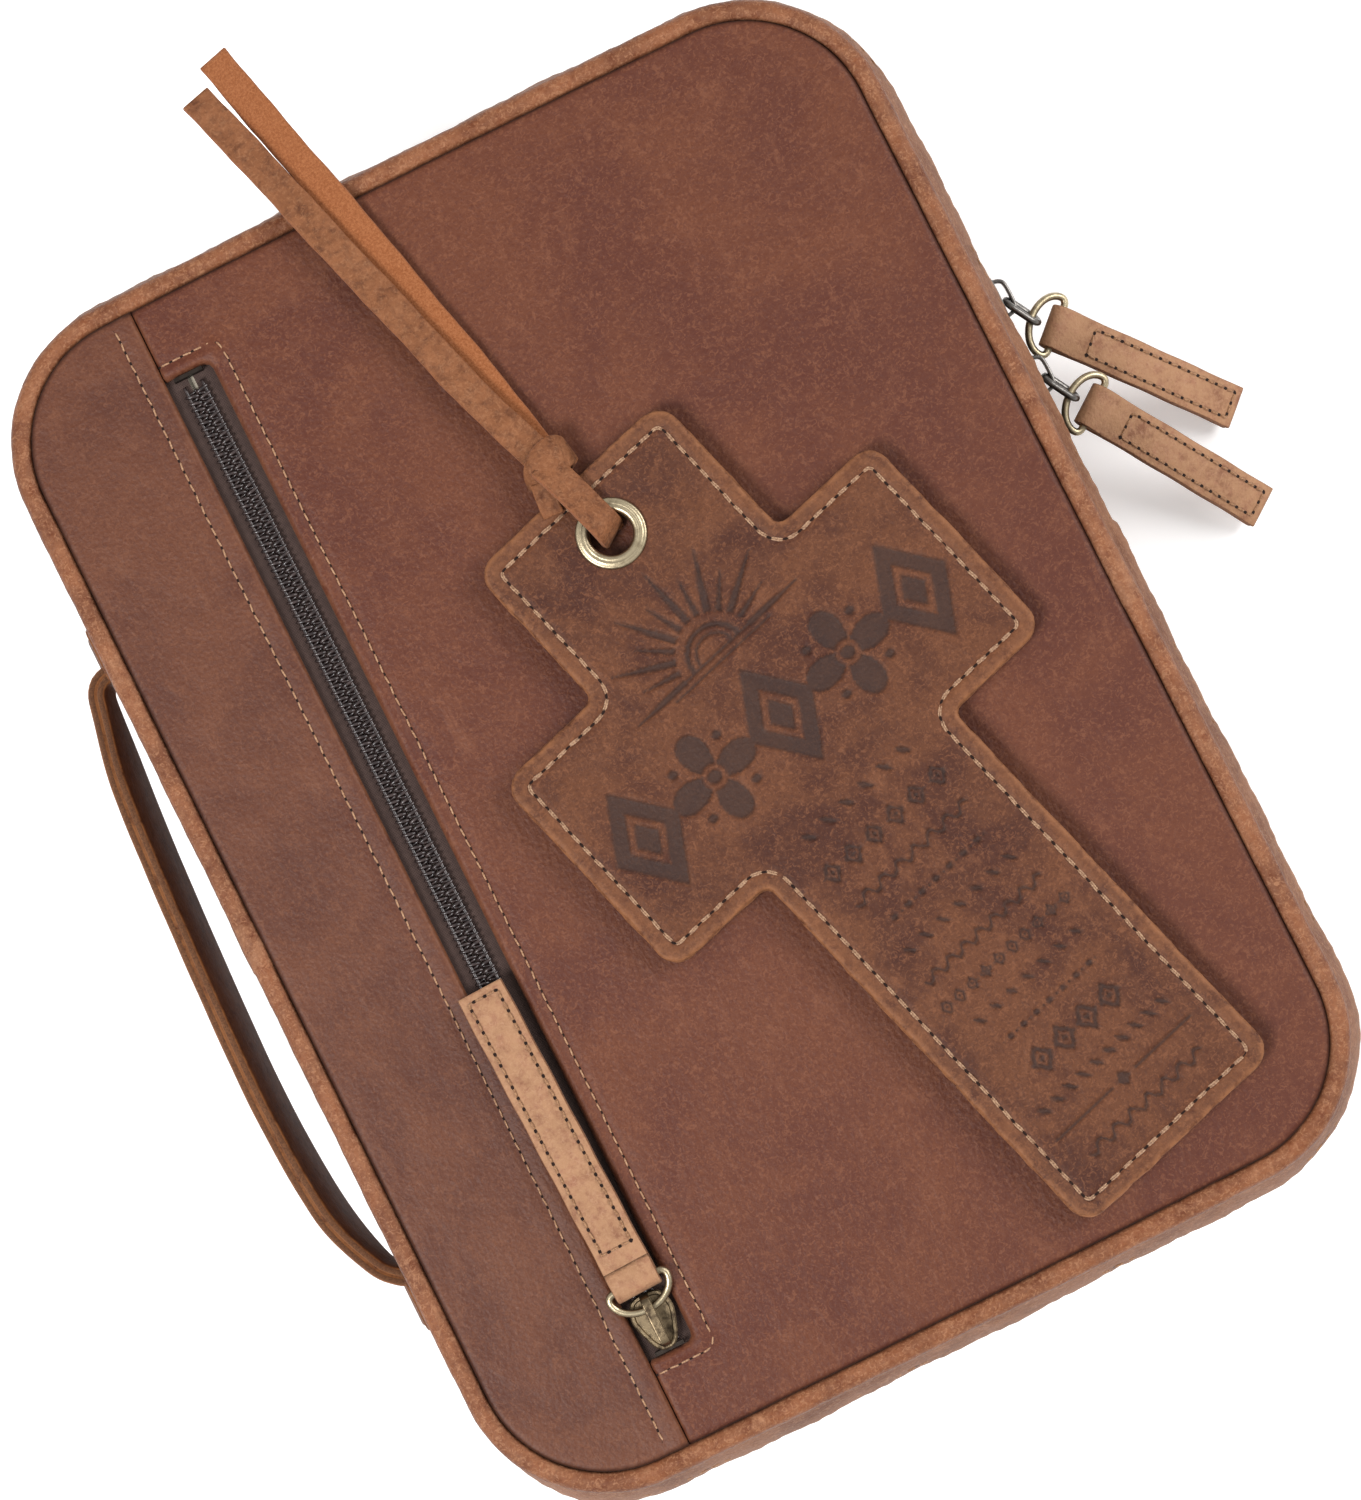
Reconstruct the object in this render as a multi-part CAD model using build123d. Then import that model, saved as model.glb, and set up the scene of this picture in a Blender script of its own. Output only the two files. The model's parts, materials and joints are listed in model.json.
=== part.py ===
from build123d import *
import math
import os

# Zip-round leather Bible cover, closed and lying on its back panel, with the Bible inside.
# All lengths are in millimetres. X runs from the spine to the opening edge, Y runs up to the
# head of the cover, and Z runs from the back panel's flat underside to the front panel.

# Closed cover
THICK = 50.0            # back panel face to front panel face
PIPE_X = 95.9           # half width at the centre of the piping cord
PIPE_Y = 130.8          # half height at the centre of the piping cord
CORNER_R = 28.0         # corner radius at the centre of the piping cord
PIPE_R = 2.5            # radius of the piping cord
MID_Z = THICK / 2       # plane of the main zip
LEATHER = 1.8           # panel and gusset leather
BOARD = 1.6             # stiffening board
LINING = 0.8            # lining cloth
SEAT = 0.1              # play between stacked layers that belong to different parts
PANEL_INSET = 2.55      # panel edge, in from the piping centre
CORE_INSET = 3.6        # board and lining edge, in from the piping centre

# Gusset wall and main zip, measured outward from the piping centre
WALL_FOOT_Z = 5.05      # where a wall leaves its piping
WALL_TOP_Z = 19.5       # where the wall stops and the zip tape shows
WALL_FOOT_U = 1.6       # outer face at the foot
WALL_TOP_U = 6.4        # outer face at the top: the wall bulges outward
TAPE_U = 2.9            # inner face of the zip tape
TAPE_T = 0.7
COIL_T = 1.7
COIL_H = 2.75           # one half of the coil, across the tape
COIL_GAP = 1.3          # between the two halves, where the slider's post runs
ZIP_FOOT_Z = 18.6
COIL_END_X = -97.9      # the coil stops near the fold, so that its halves part freely
SPINE_Y = PIPE_Y - CORNER_R - 3.3   # half length of the straight spine piece

# Spine and handle
FOLD_X = -PIPE_X        # both fold lines run along the piping centres
HANDLE_AXIS_X = -102.5
HANDLE_TOP_Y = 66.0
HANDLE_LOW_Y = -75.0
HANDLE_PEAK_Y = -18.0   # where the strap stands furthest out
HANDLE_PEAK_X = -109.5
HANDLE_H = 22.0         # strap height
HANDLE_END_H = 8.0      # strap height at its ends
STRAP_PLY = 1.9         # one leather layer of the strap
ANCHOR_T = 1.2          # tab sewn flat on the spine
ANCHOR_W = 12.0
ANCHOR_H = 18.0
ANCHOR_PIN_R = 1.0      # rolled core that the strap's end turns on
ANCHOR_PIN_IN = 2.5     # how far the core runs into the strap
ANCHOR_FIT = 0.06

# Bible
BOOK_X = 82.0           # half width of the Bible's covers
BOOK_Y = 116.0
BOOK_LOW_Z = 5.0
BOOK_TOP_Z = 42.5
BOOK_COVER = 2.0
BOOK_CORNER = 9.0
PAGE_INSET = 3.0
BOOK_HINGE_X = -83.2
BOOK_HINGE_Z = 42.7

# Front pocket
STRIP_EDGE_X = -61.2    # folded edge of the strip panel
SLOT_X = -50.9          # other side of the pocket slot
SLOT_TOP_Y = 112.7
SLOT_LOW_Y = -110.5
CHAIN_X = (STRIP_EDGE_X + SLOT_X) / 2
STRIP_RISE = 0.4        # the folded strip stands above the main panel
POCKET_SLIDER_Y = -103.7
BAG_X = 66.0            # far edge of the pocket's cloth
BAG_T = 0.5

# Zip pulls
WIRE_R = 0.8            # ring wire
RING_HALF = 5.2         # half the straight bar of a ring
RING_BEND = 1.3
RING_DEPTH = 6.0        # bar centre to the far side of the ring
LOOP_R = 0.75           # wire of the oval loop on a main slider
LOOP_BEND = 2.2
LOOP_LEN = 8.2
PULL_T = 3.8
PULL_FIT = 0.06         # running clearance of a pull on its ring

# Cross bookmark, with its head pointing up and to the left
CROSS_X = 20.8          # centre of the crossbar
CROSS_Y = -3.1
CROSS_TURN = 16.6       # degrees anticlockwise from +Y
CROSS_ARM = 51.5        # width of stem and crossbar
CROSS_SPAN = 102.5
CROSS_HEAD = 61.2       # crossbar centre to the top edge
CROSS_FOOT = 119.8      # crossbar centre to the bottom edge
CROSS_PLY = 1.8
CROSS_Z = 52.0          # underside: the lace's back leg lies below it
EYELET_DOWN = 13.2      # eyelet centre below the top edge
EYELET_HOLE_R = 4.5
EYELET_WALL = 0.5
FLANGE_R = 7.4
LACE_W = 7.0
LACE_T = 1.8

parts = {}


def slab(inset, low, high):
    """Plate with the cover's outline, drawn in from the piping centre by inset."""
    outline = RectangleRounded(2 * (PIPE_X - inset), 2 * (PIPE_Y - inset), CORNER_R - inset)
    return extrude(Pos(0, 0, low) * outline, high - low)


def block(x0, x1, y0, y1, z0, z1):
    """Box between two corners."""
    centre = Pos((x0 + x1) / 2, (y0 + y1) / 2, (z0 + z1) / 2)
    return centre * Box(x1 - x0, y1 - y0, z1 - z0)


def to_front(shape):
    """The same piece on the front half of the cover."""
    return mirror(shape, about=Plane.XY.offset(MID_Z))


def outline_edges(start_y, end_y):
    """Piping centreline from the spine's upper part, clockwise round to its lower part."""
    flat_x = PIPE_X - CORNER_R
    flat_y = PIPE_Y - CORNER_R
    return [
        Line((-PIPE_X, start_y), (-PIPE_X, flat_y)),
        CenterArc((-flat_x, flat_y), CORNER_R, 180, -90),
        Line((-flat_x, PIPE_Y), (flat_x, PIPE_Y)),
        CenterArc((flat_x, flat_y), CORNER_R, 90, -90),
        Line((PIPE_X, flat_y), (PIPE_X, -flat_y)),
        CenterArc((flat_x, -flat_y), CORNER_R, 0, -90),
        Line((flat_x, -PIPE_Y), (-flat_x, -PIPE_Y)),
        CenterArc((-flat_x, -flat_y), CORNER_R, 270, -90),
        Line((-PIPE_X, -flat_y), (-PIPE_X, end_y)),
    ]


def piping():
    """Round cord in a leather sleeve, all the way round the panel."""
    path = Wire(outline_edges(0, 0))
    section = Plane((-PIPE_X, 0, PIPE_R), x_dir=(-1, 0, 0), z_dir=(0, 1, 0)) * Circle(PIPE_R)
    return sweep(section, path=path)


def wall(points):
    """Band that follows the outline except along the spine; points are (outward, height)."""
    path = Wire(outline_edges(SPINE_Y, -SPINE_Y))
    start = Plane((-PIPE_X, SPINE_Y, 0), x_dir=(-1, 0, 0), z_dir=(0, 1, 0))
    return sweep(start * Polygon(*points, align=None), path=path)


def gusset():
    return wall([
        (WALL_FOOT_U - LEATHER, WALL_FOOT_Z),
        (WALL_FOOT_U, WALL_FOOT_Z),
        (WALL_TOP_U, WALL_TOP_Z),
        (WALL_TOP_U - LEATHER, WALL_TOP_Z),
    ])


def upright(u0, u1, z0, z1):
    return wall([(u0, z0), (u1, z0), (u1, z1), (u0, z1)])


def shells():
    """Both halves of the cover: panels, boards, linings, piping, gusset, zip and sleeve."""
    coil_low = MID_Z - COIL_GAP / 2 - COIL_H
    coil = upright(TAPE_U + TAPE_T, TAPE_U + TAPE_T + COIL_T, coil_low, coil_low + COIL_H)
    coil_reach = block(COIL_END_X, PIPE_X + 20, -PIPE_Y - 20, PIPE_Y + 20, 0, MID_Z)
    tape_top = MID_Z - COIL_GAP / 2 - SEAT
    sleeve = slab(CORE_INSET, 0, 1) & block(12, PIPE_X, -PIPE_Y, PIPE_Y, 0, 1)
    back = {
        "piping": piping(),
        "gusset": gusset(),
        "zip_tape": upright(TAPE_U, TAPE_U + TAPE_T, ZIP_FOOT_Z, tape_top),
        "zip_coil": coil & coil_reach,
    }
    for name, shape in back.items():
        parts["back_" + name] = shape
        parts["front_" + name] = to_front(shape)
    lining_z = LEATHER + BOARD
    sleeve_z = lining_z + LINING
    parts["back_panel"] = slab(PANEL_INSET, 0, LEATHER)
    parts["back_board"] = slab(CORE_INSET, LEATHER, lining_z)
    parts["back_lining"] = slab(CORE_INSET, lining_z, sleeve_z)
    parts["back_sleeve"] = Pos(0, 0, sleeve_z) * scale(sleeve, by=(1, 1, 0.6))
    pocket = 1.2        # room for the pocket between the front leather and its board
    for name, low, high in (
        ("front_board", LEATHER + pocket, LEATHER + pocket + BOARD),
        ("front_lining", LEATHER + pocket + BOARD, LEATHER + pocket + BOARD + LINING),
    ):
        parts[name] = to_front(slab(CORE_INSET, low, high))
    front_sleeve_z = THICK - LEATHER - pocket - BOARD - LINING - 0.6
    parts["front_sleeve"] = Pos(0, 0, front_sleeve_z) * scale(sleeve, by=(1, 1, 0.6))


def front_face():
    """Main panel with the pocket slot, the strip panel beside it, and the pocket behind."""
    low = THICK - LEATHER
    sheet = slab(PANEL_INSET, low, THICK)
    slot = block(STRIP_EDGE_X - 1, SLOT_X, SLOT_LOW_Y, SLOT_TOP_Y, low - 1, THICK + 1)
    right = block(STRIP_EDGE_X, PIPE_X, -PIPE_Y, PIPE_Y, low - 1, THICK + 1)
    parts["front_main_panel"] = sheet & right - slot
    left = block(-PIPE_X, STRIP_EDGE_X, -PIPE_Y, PIPE_Y, low - 1, THICK + 1)
    parts["front_strip_panel"] = slab(PANEL_INSET, low, THICK + STRIP_RISE) & left
    tape_z = low - 0.6
    reach = 6.5         # tape sewn under the leather beside the slot
    ends = 6.0
    y0 = SLOT_LOW_Y - ends
    y1 = SLOT_TOP_Y + ends
    seam = COIL_GAP / 2
    parts["pocket_tape_left"] = block(STRIP_EDGE_X - reach, CHAIN_X - seam, y0, y1, tape_z, low)
    parts["pocket_tape_right"] = block(CHAIN_X + seam, SLOT_X + reach, y0, y1, tape_z, low)
    coil_y0 = SLOT_LOW_Y + 2
    coil_y1 = SLOT_TOP_Y - 2
    coil_top = low + 1.4
    left_x = (CHAIN_X - seam - COIL_H, CHAIN_X - seam)
    right_x = (CHAIN_X + seam, CHAIN_X + seam + COIL_H)
    parts["pocket_coil_left"] = block(*left_x, coil_y0, coil_y1, low, coil_top)
    parts["pocket_coil_right"] = block(*right_x, coil_y0, coil_y1, low, coil_top)
    bag_top = tape_z - SEAT / 2
    bag_y = (SLOT_LOW_Y - 8, SLOT_TOP_Y + 8)
    parts["pocket_bag"] = block(STRIP_EDGE_X - 12, BAG_X, *bag_y, bag_top - BAG_T, bag_top)
    stop_z = (low, THICK + 0.3)
    half = 3.2
    parts["pocket_stops"] = (
        block(CHAIN_X - half, CHAIN_X + half, SLOT_LOW_Y + 0.2, SLOT_LOW_Y + 1.0, *stop_z)
        + block(CHAIN_X - half, CHAIN_X + half, SLOT_TOP_Y - 1.0, SLOT_TOP_Y - 0.2, *stop_z)
    )


def handle_core(end_y, away, radius):
    """Round core at one end of the handle, on the axis that the handle swings about."""
    low_y, high_y = sorted((end_y - away * ANCHOR_PIN_IN, end_y + away * ANCHOR_W))
    middle = Pos(HANDLE_AXIS_X, (low_y + high_y) / 2, MID_Z)
    return middle * Rot(90, 0, 0) * Cylinder(radius, high_y - low_y)


def spine():
    """Spine leather and lining between the two fold lines, with the handle's sewn ends."""
    outer = FOLD_X - WALL_FOOT_U
    top = THICK - WALL_FOOT_Z
    half = SPINE_Y - 0.6
    parts["spine_panel"] = block(outer, outer + LEATHER, -half, half, WALL_FOOT_Z, top)
    inner = outer + LEATHER
    parts["spine_lining"] = block(inner, inner + LINING, -half, half, WALL_FOOT_Z + 1, top - 1)
    neck = 0.6          # half thickness of the fold between the tab and its core
    for name, end_y, away in (
        ("handle_upper_anchor", HANDLE_TOP_Y, 1),
        ("handle_lower_anchor", HANDLE_LOW_Y, -1),
    ):
        far_y = end_y + away * ANCHOR_W
        near_y = end_y + away * 0.6
        tab = Pos(outer - ANCHOR_T / 2, (end_y + far_y) / 2, MID_Z) * Box(ANCHOR_T, ANCHOR_W, ANCHOR_H)
        tab = fillet(tab.edges().filter_by(Axis.X), 2.0)
        low_y, high_y = sorted((near_y, far_y))
        web = block(HANDLE_AXIS_X, outer, low_y, high_y, MID_Z - neck, MID_Z + neck)
        parts[name] = tab + web + handle_core(end_y, away, ANCHOR_PIN_R)


def handle():
    """Carry strap of two leather layers, standing out from the spine in a shallow bow."""
    rise = 12.0         # how far each end leans along the spine before the bow flattens
    mid_x = HANDLE_PEAK_X + 2.5
    centre = Spline(
        (HANDLE_AXIS_X, HANDLE_TOP_Y),
        (mid_x, HANDLE_TOP_Y - 3 * rise),
        (HANDLE_PEAK_X, HANDLE_PEAK_Y),
        (mid_x, HANDLE_LOW_Y + 2 * rise),
        (HANDLE_AXIS_X, HANDLE_LOW_Y),
    )
    side = Plane.XZ * Polygon(
        (HANDLE_AXIS_X + 3, MID_Z - HANDLE_END_H / 2),
        (HANDLE_AXIS_X, MID_Z - HANDLE_END_H / 2),
        (HANDLE_AXIS_X - 5, MID_Z - HANDLE_H / 2),
        (HANDLE_PEAK_X - 8, MID_Z - HANDLE_H / 2),
        (HANDLE_PEAK_X - 8, MID_Z + HANDLE_H / 2),
        (HANDLE_AXIS_X - 5, MID_Z + HANDLE_H / 2),
        (HANDLE_AXIS_X, MID_Z + HANDLE_END_H / 2),
        (HANDLE_AXIS_X + 3, MID_Z + HANDLE_END_H / 2),
        align=None,
    )
    profile = extrude(side, amount=PIPE_Y, both=True)
    start = centre @ 0
    heading = centre % 0
    outward = (-heading.Y, heading.X, 0)
    plane = Plane((start.X, start.Y, MID_Z), x_dir=outward, z_dir=(heading.X, heading.Y, 0))
    path = Pos(0, 0, MID_Z) * Wire(centre)
    bore_r = ANCHOR_PIN_R + ANCHOR_FIT
    bores = handle_core(HANDLE_TOP_Y, 1, bore_r) + handle_core(HANDLE_LOW_Y, -1, bore_r)
    for name, shift in (("handle_inner_strap", STRAP_PLY / 2), ("handle_outer_strap", -STRAP_PLY / 2)):
        ply = sweep(plane * Pos(shift, 0) * Rectangle(STRAP_PLY, HANDLE_H), path=path)
        parts[name] = (ply & profile) - bores


def bible():
    """Plain Bible: cover boards, rounded spine, page block, headbands and ribbon marker."""
    cover = RectangleRounded(2 * BOOK_X, 2 * BOOK_Y, BOOK_CORNER)
    parts["bible_back_cover"] = extrude(Pos(0, 0, BOOK_LOW_Z) * cover, BOOK_COVER)
    front = RectangleRounded(2 * BOOK_X - 1, 2 * BOOK_Y, BOOK_CORNER)
    parts["bible_front_cover"] = extrude(Pos(0.5, 0, BOOK_TOP_Z - BOOK_COVER) * front, BOOK_COVER)
    page_low = BOOK_LOW_Z + BOOK_COVER + SEAT
    page_top = BOOK_TOP_Z - BOOK_COVER - SEAT
    page_x = BOOK_X - PAGE_INSET
    page_y = BOOK_Y - PAGE_INSET
    parts["bible_pages"] = block(-page_x, page_x, -page_y, page_y, page_low, page_top)
    band_z = (page_low + 2, page_top - 2)
    band_x = (-page_x + 0.5, -page_x + 2.5)
    parts["bible_headband"] = block(*band_x, page_y, page_y + 1.6, *band_z)
    parts["bible_tailband"] = block(*band_x, -page_y - 1.6, -page_y, *band_z)
    mid = (page_low + page_top) / 2
    parts["bible_ribbon"] = block(-20, -14, -page_y - 0.4, -page_y, page_low + 1, mid)
    round_r = 46.0      # the spine's back is a shallow arc
    swell = 4.2
    centre = Pos(round_r - BOOK_X - swell, (BOOK_LOW_Z + BOOK_TOP_Z) / 2)
    arch = extrude(Plane.XZ * centre * (Circle(round_r) - Circle(round_r - 1.6)), BOOK_Y, both=True)
    keep = block(-BOOK_X - 10, -BOOK_X - 0.2, -BOOK_Y, BOOK_Y, BOOK_LOW_Z, BOOK_TOP_Z - 0.2)
    parts["bible_spine"] = arch & keep


def ring_in(frame):
    """D-shaped wire ring: its straight bar is on the frame's Y axis, the bow behind it."""
    side = RING_HALF + RING_BEND
    bow = RING_DEPTH - RING_BEND
    path = Wire([
        Line((0, -RING_HALF), (0, RING_HALF)),
        CenterArc((-RING_BEND, RING_HALF), RING_BEND, 0, 90),
        EllipticalCenterArc((-RING_BEND, 0), bow, side, 90, arc_size=180),
        CenterArc((-RING_BEND, -RING_HALF), RING_BEND, 270, 90),
    ])
    wire = sweep(Plane.XZ * Circle(WIRE_R), path=path)
    return frame.location * wire


def pull_in(frame, length, width):
    """Leather pull folded round the ring's bar, which runs through its eye."""
    eye = Rot(90, 0, 0) * Cylinder(PULL_T / 2, width)
    blade = Pos(length / 2, 0, 0) * Box(length, width, PULL_T)
    tip = blade.edges().filter_by(Axis.Z).sort_by(Axis.X)[-2:]
    bore = Rot(90, 0, 0) * Cylinder(WIRE_R + PULL_FIT, width + 1)
    return frame.location * (eye + fillet(tip, 1.0) - bore)


def pocket_slider():
    """Slider at the foot of the pocket zip, with its ring and long leather pull."""
    plate_z = THICK - 0.25
    plate_t = 1.0
    y = POCKET_SLIDER_Y
    half = 5.6          # half length of the shield-shaped plate
    shape = Polygon((-1.8, -half), (1.8, -half), (4.2, 1), (2.6, half), (-2.6, half), (-4.2, 1), align=None)
    plate = Pos(CHAIN_X, y, plate_z) * extrude(shape, plate_t)
    post = block(CHAIN_X - 0.5, CHAIN_X + 0.5, y - 1, y + 4, THICK - LEATHER - 1.15, plate_z)
    top = plate_z + plate_t
    arch = block(CHAIN_X - 0.8, CHAIN_X + 0.8, y - 5, y + 5.4, top, top + 3.6)
    gap = block(CHAIN_X - 2, CHAIN_X + 2, y - 3.6, y + 4.2, top, top + 2.3)
    parts["pocket_slider_body"] = plate + post + (arch - gap)
    slit = block(CHAIN_X - 1, CHAIN_X + 1, SLOT_LOW_Y, SLOT_TOP_Y, MID_Z, THICK)
    parts["pocket_bag"] = parts["pocket_bag"] - slit
    bow = Vector(CHAIN_X, y + 2.8, top + 1.15)
    bar_z = THICK + STRIP_RISE + PULL_T / 2 + 0.3
    lie = Vector(-0.03, 1.0, 0).normalized()
    side = Vector(-lie.Y, lie.X, 0)
    rise = math.asin((bar_z - bow.Z) / RING_DEPTH)
    aim = lie * math.cos(rise) + Vector(0, 0, 1) * math.sin(rise)
    ring = Plane(bow + aim * RING_DEPTH, x_dir=aim, z_dir=aim.cross(side))
    parts["pocket_ring"] = ring_in(ring)
    flat = Plane(ring.origin, x_dir=lie, z_dir=(0, 0, 1))
    parts["pocket_pull"] = pull_in(flat, 67.0, 10.0)
    print("pocket bow", bow, "bar", ring.origin, "side", side)


def main_slider(name, y, heading):
    """One slider of the main zip, with its oval loop, ring and leather pull."""
    face = PIPE_X + TAPE_U + TAPE_T + COIL_T + 0.15
    plate_t = 1.2
    half_y = 5.2
    half_z = 4.5
    inner = PIPE_X + TAPE_U - 0.3
    outer_plate = block(face, face + plate_t, y - half_y, y + half_y, MID_Z - half_z, MID_Z + half_z)
    inner_plate = block(inner - 1, inner, y - half_y, y + half_y, MID_Z - half_z, MID_Z + half_z)
    outer_plate = fillet(outer_plate.edges().filter_by(Axis.X), 2.0)
    post = block(inner - 0.5, face + 0.5, y - 2, y + 2, MID_Z - 0.45, MID_Z + 0.45)
    top = face + plate_t
    arch = block(top, top + 2.9, y - 4, y + 4, MID_Z - 0.7, MID_Z + 0.7)
    gap = block(top, top + 2.1, y - 2.8, y + 2.8, MID_Z - 2, MID_Z + 2)
    parts[name + "_slider_body"] = outer_plate + inner_plate + post + (arch - gap)
    pin = Vector(top + 1.05, y - 0.8, MID_Z)
    along = Vector(0.5, -0.85, -0.12).normalized()
    up = Vector(0, 0, 1)
    lean = (up - along * up.dot(along)).normalized().rotate(Axis((0, 0, 0), tuple(along)), 20)
    oval = Plane(pin, x_dir=along, z_dir=along.cross(lean))
    reach = LOOP_LEN - 2 * LOOP_BEND
    path = Wire([
        CenterArc((LOOP_BEND, 0), LOOP_BEND, 90, 180),
        Line((LOOP_BEND, -LOOP_BEND), (LOOP_BEND + reach, -LOOP_BEND)),
        CenterArc((LOOP_BEND + reach, 0), LOOP_BEND, 270, 180),
        Line((LOOP_BEND + reach, LOOP_BEND), (LOOP_BEND, LOOP_BEND)),
    ])
    section = Plane((LOOP_BEND, LOOP_BEND, 0), x_dir=(0, 1, 0), z_dir=(-1, 0, 0)) * Circle(LOOP_R)
    parts[name + "_slider_loop"] = oval.location * sweep(section, path=path)
    bow = pin + along * (LOOP_LEN - LOOP_R - WIRE_R - 0.15)
    turn = math.radians(heading)
    drop = math.radians(20)
    aim = Vector(math.cos(turn) * math.cos(drop), math.sin(turn) * math.cos(drop), -math.sin(drop))
    side = Vector(-math.sin(turn), math.cos(turn), 0)
    ring = Plane(bow + aim * RING_DEPTH, x_dir=aim, z_dir=aim.cross(side))
    parts[name + "_ring"] = ring_in(ring)
    drop = math.radians(25)
    aim = Vector(math.cos(turn) * math.cos(drop), math.sin(turn) * math.cos(drop), -math.sin(drop))
    flat = Plane(ring.origin, x_dir=aim, z_dir=aim.cross(side))
    parts[name + "_pull"] = pull_in(flat, 46.0, 9.2)
    print(name, "pin", pin, "pin axis", oval.y_dir, "bow", bow, "bar", ring.origin, "side", side)


def cross_outline():
    """Cross with rounded tips, drawn about the centre of its crossbar."""
    middle = (CROSS_HEAD - CROSS_FOOT) / 2
    stem = Pos(0, middle) * Rectangle(CROSS_ARM, CROSS_HEAD + CROSS_FOOT)
    shape = stem + Rectangle(CROSS_SPAN, CROSS_ARM)
    near = 0.6 * CROSS_ARM      # the four inner corners lie nearer the centre than this
    tips = [v for v in shape.vertices() if abs(v.X) > near or abs(v.Y) > near]
    shape = fillet(tips, 4.5)
    inner = [v for v in shape.vertices() if abs(abs(v.X) - abs(v.Y)) < 0.01 and abs(v.X) < CROSS_ARM]
    return fillet(inner, 1.5)


def bookmark():
    """Two-layer cross on a lace that passes through its eyelet and is knotted above it."""
    place = Pos(CROSS_X, CROSS_Y, 0) * Rot(0, 0, CROSS_TURN)
    eye_y = CROSS_HEAD - EYELET_DOWN
    barrel_r = EYELET_HOLE_R + EYELET_WALL
    top_z = CROSS_Z + 2 * CROSS_PLY
    leather = cross_outline() - Pos(0, eye_y) * Circle(barrel_r)
    parts["cross_back_leather"] = place * Pos(0, 0, CROSS_Z) * extrude(leather, CROSS_PLY)
    front_ply = extrude(leather, CROSS_PLY)
    parts["cross_front_leather"] = place * Pos(0, 0, CROSS_Z + CROSS_PLY) * front_ply
    wall_ring = Circle(barrel_r) - Circle(EYELET_HOLE_R)
    flange = Circle(FLANGE_R) - Circle(EYELET_HOLE_R)
    barrel = extrude(Pos(0, eye_y, CROSS_Z - 0.4) * wall_ring, 2 * CROSS_PLY + 0.4)
    lip = extrude(Pos(0, eye_y, top_z) * flange, 0.8)
    parts["eyelet"] = place * (barrel + lip)
    washer = extrude(Pos(0, eye_y, CROSS_Z - 0.4) * (Circle(FLANGE_R - 0.3) - Circle(barrel_r)), 0.4)
    parts["eyelet_washer"] = place * washer
    half = LACE_W / 2
    over = CROSS_HEAD + 0.3
    front_z = top_z + 0.9
    back_z = THICK + 0.3
    legs = block(-half, half, eye_y - 1.6, over, front_z, front_z + 1.6)
    legs += block(-half, half, eye_y - 1.6, over, back_z, back_z + 1.2)
    legs += block(-3.2, 3.2, eye_y - 1.6, eye_y, back_z, front_z + 1.6)
    parts["lace_loop"] = place * legs
    knot = block(-5.2, 5.2, over, over + 6.5, back_z, front_z + 2.0)
    parts["lace_knot"] = place * fillet(knot.edges().filter_by(Axis.Y), 2.6)


def lace_tail(name, route):
    """Flat lace along straight runs joined by tangent arcs."""
    points = [Vector(*p) for p in route]
    radii = []
    for before, here, after in zip(points, points[1:], points[2:]):
        turn = math.radians((here - before).get_angle(after - here))
        run = min((here - before).length, (after - here).length)
        radii.append(0.45 * run / math.tan(turn / 2))
    path = FilletPolyline(*points, radius=radii)
    start = points[0]
    heading = (points[1] - points[0]).normalized()
    across = heading.cross(Vector(0, 0, 1)).normalized()
    section = Plane(start, x_dir=across, z_dir=heading) * Rectangle(LACE_W, LACE_T)
    parts[name] = sweep(section, path=path)
    ratio = parts[name].volume / (LACE_W * LACE_T * path.length)
    print(name, "length", round(path.length, 1), "radii", [round(r) for r in radii])
    print(name, "volume ratio", round(ratio, 3))


# Lace tails, from the knot over the head of the cover and a little beyond it
GRAIN_ROUTE = [
    (1.4, 62.5, 55.3), (-5.0, 79.0, 53.9), (-11.0, 100.5, 53.5),
    (-17.6, 122.0, 53.4), (-23.6, 143.5, 53.1), (-29.4, 162.5, 51.0),
]
SUEDE_ROUTE = [
    (1.9, 62.7, 52.4), (-1.0, 79.5, 51.6), (-6.6, 102.0, 51.4),
    (-11.6, 124.5, 51.5), (-17.6, 147.5, 51.0), (-22.6, 169.0, 48.6),
]

shells()
front_face()
spine()
handle()
bible()
pocket_slider()
main_slider("upper", 54.0, -46.7)
main_slider("lower", 36.0, -53.8)
bookmark()
lace_tail("lace_tail_grain", GRAIN_ROUTE)
lace_tail("lace_tail_suede", SUEDE_ROUTE)

os.makedirs("parts", exist_ok=True)
for node, shape in parts.items():
    export_step(shape, f"parts/{node}.step")
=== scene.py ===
import json
import math
import random

import bpy
import numpy as np
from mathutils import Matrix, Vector
from mathutils.geometry import delaunay_2d_cdt


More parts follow.
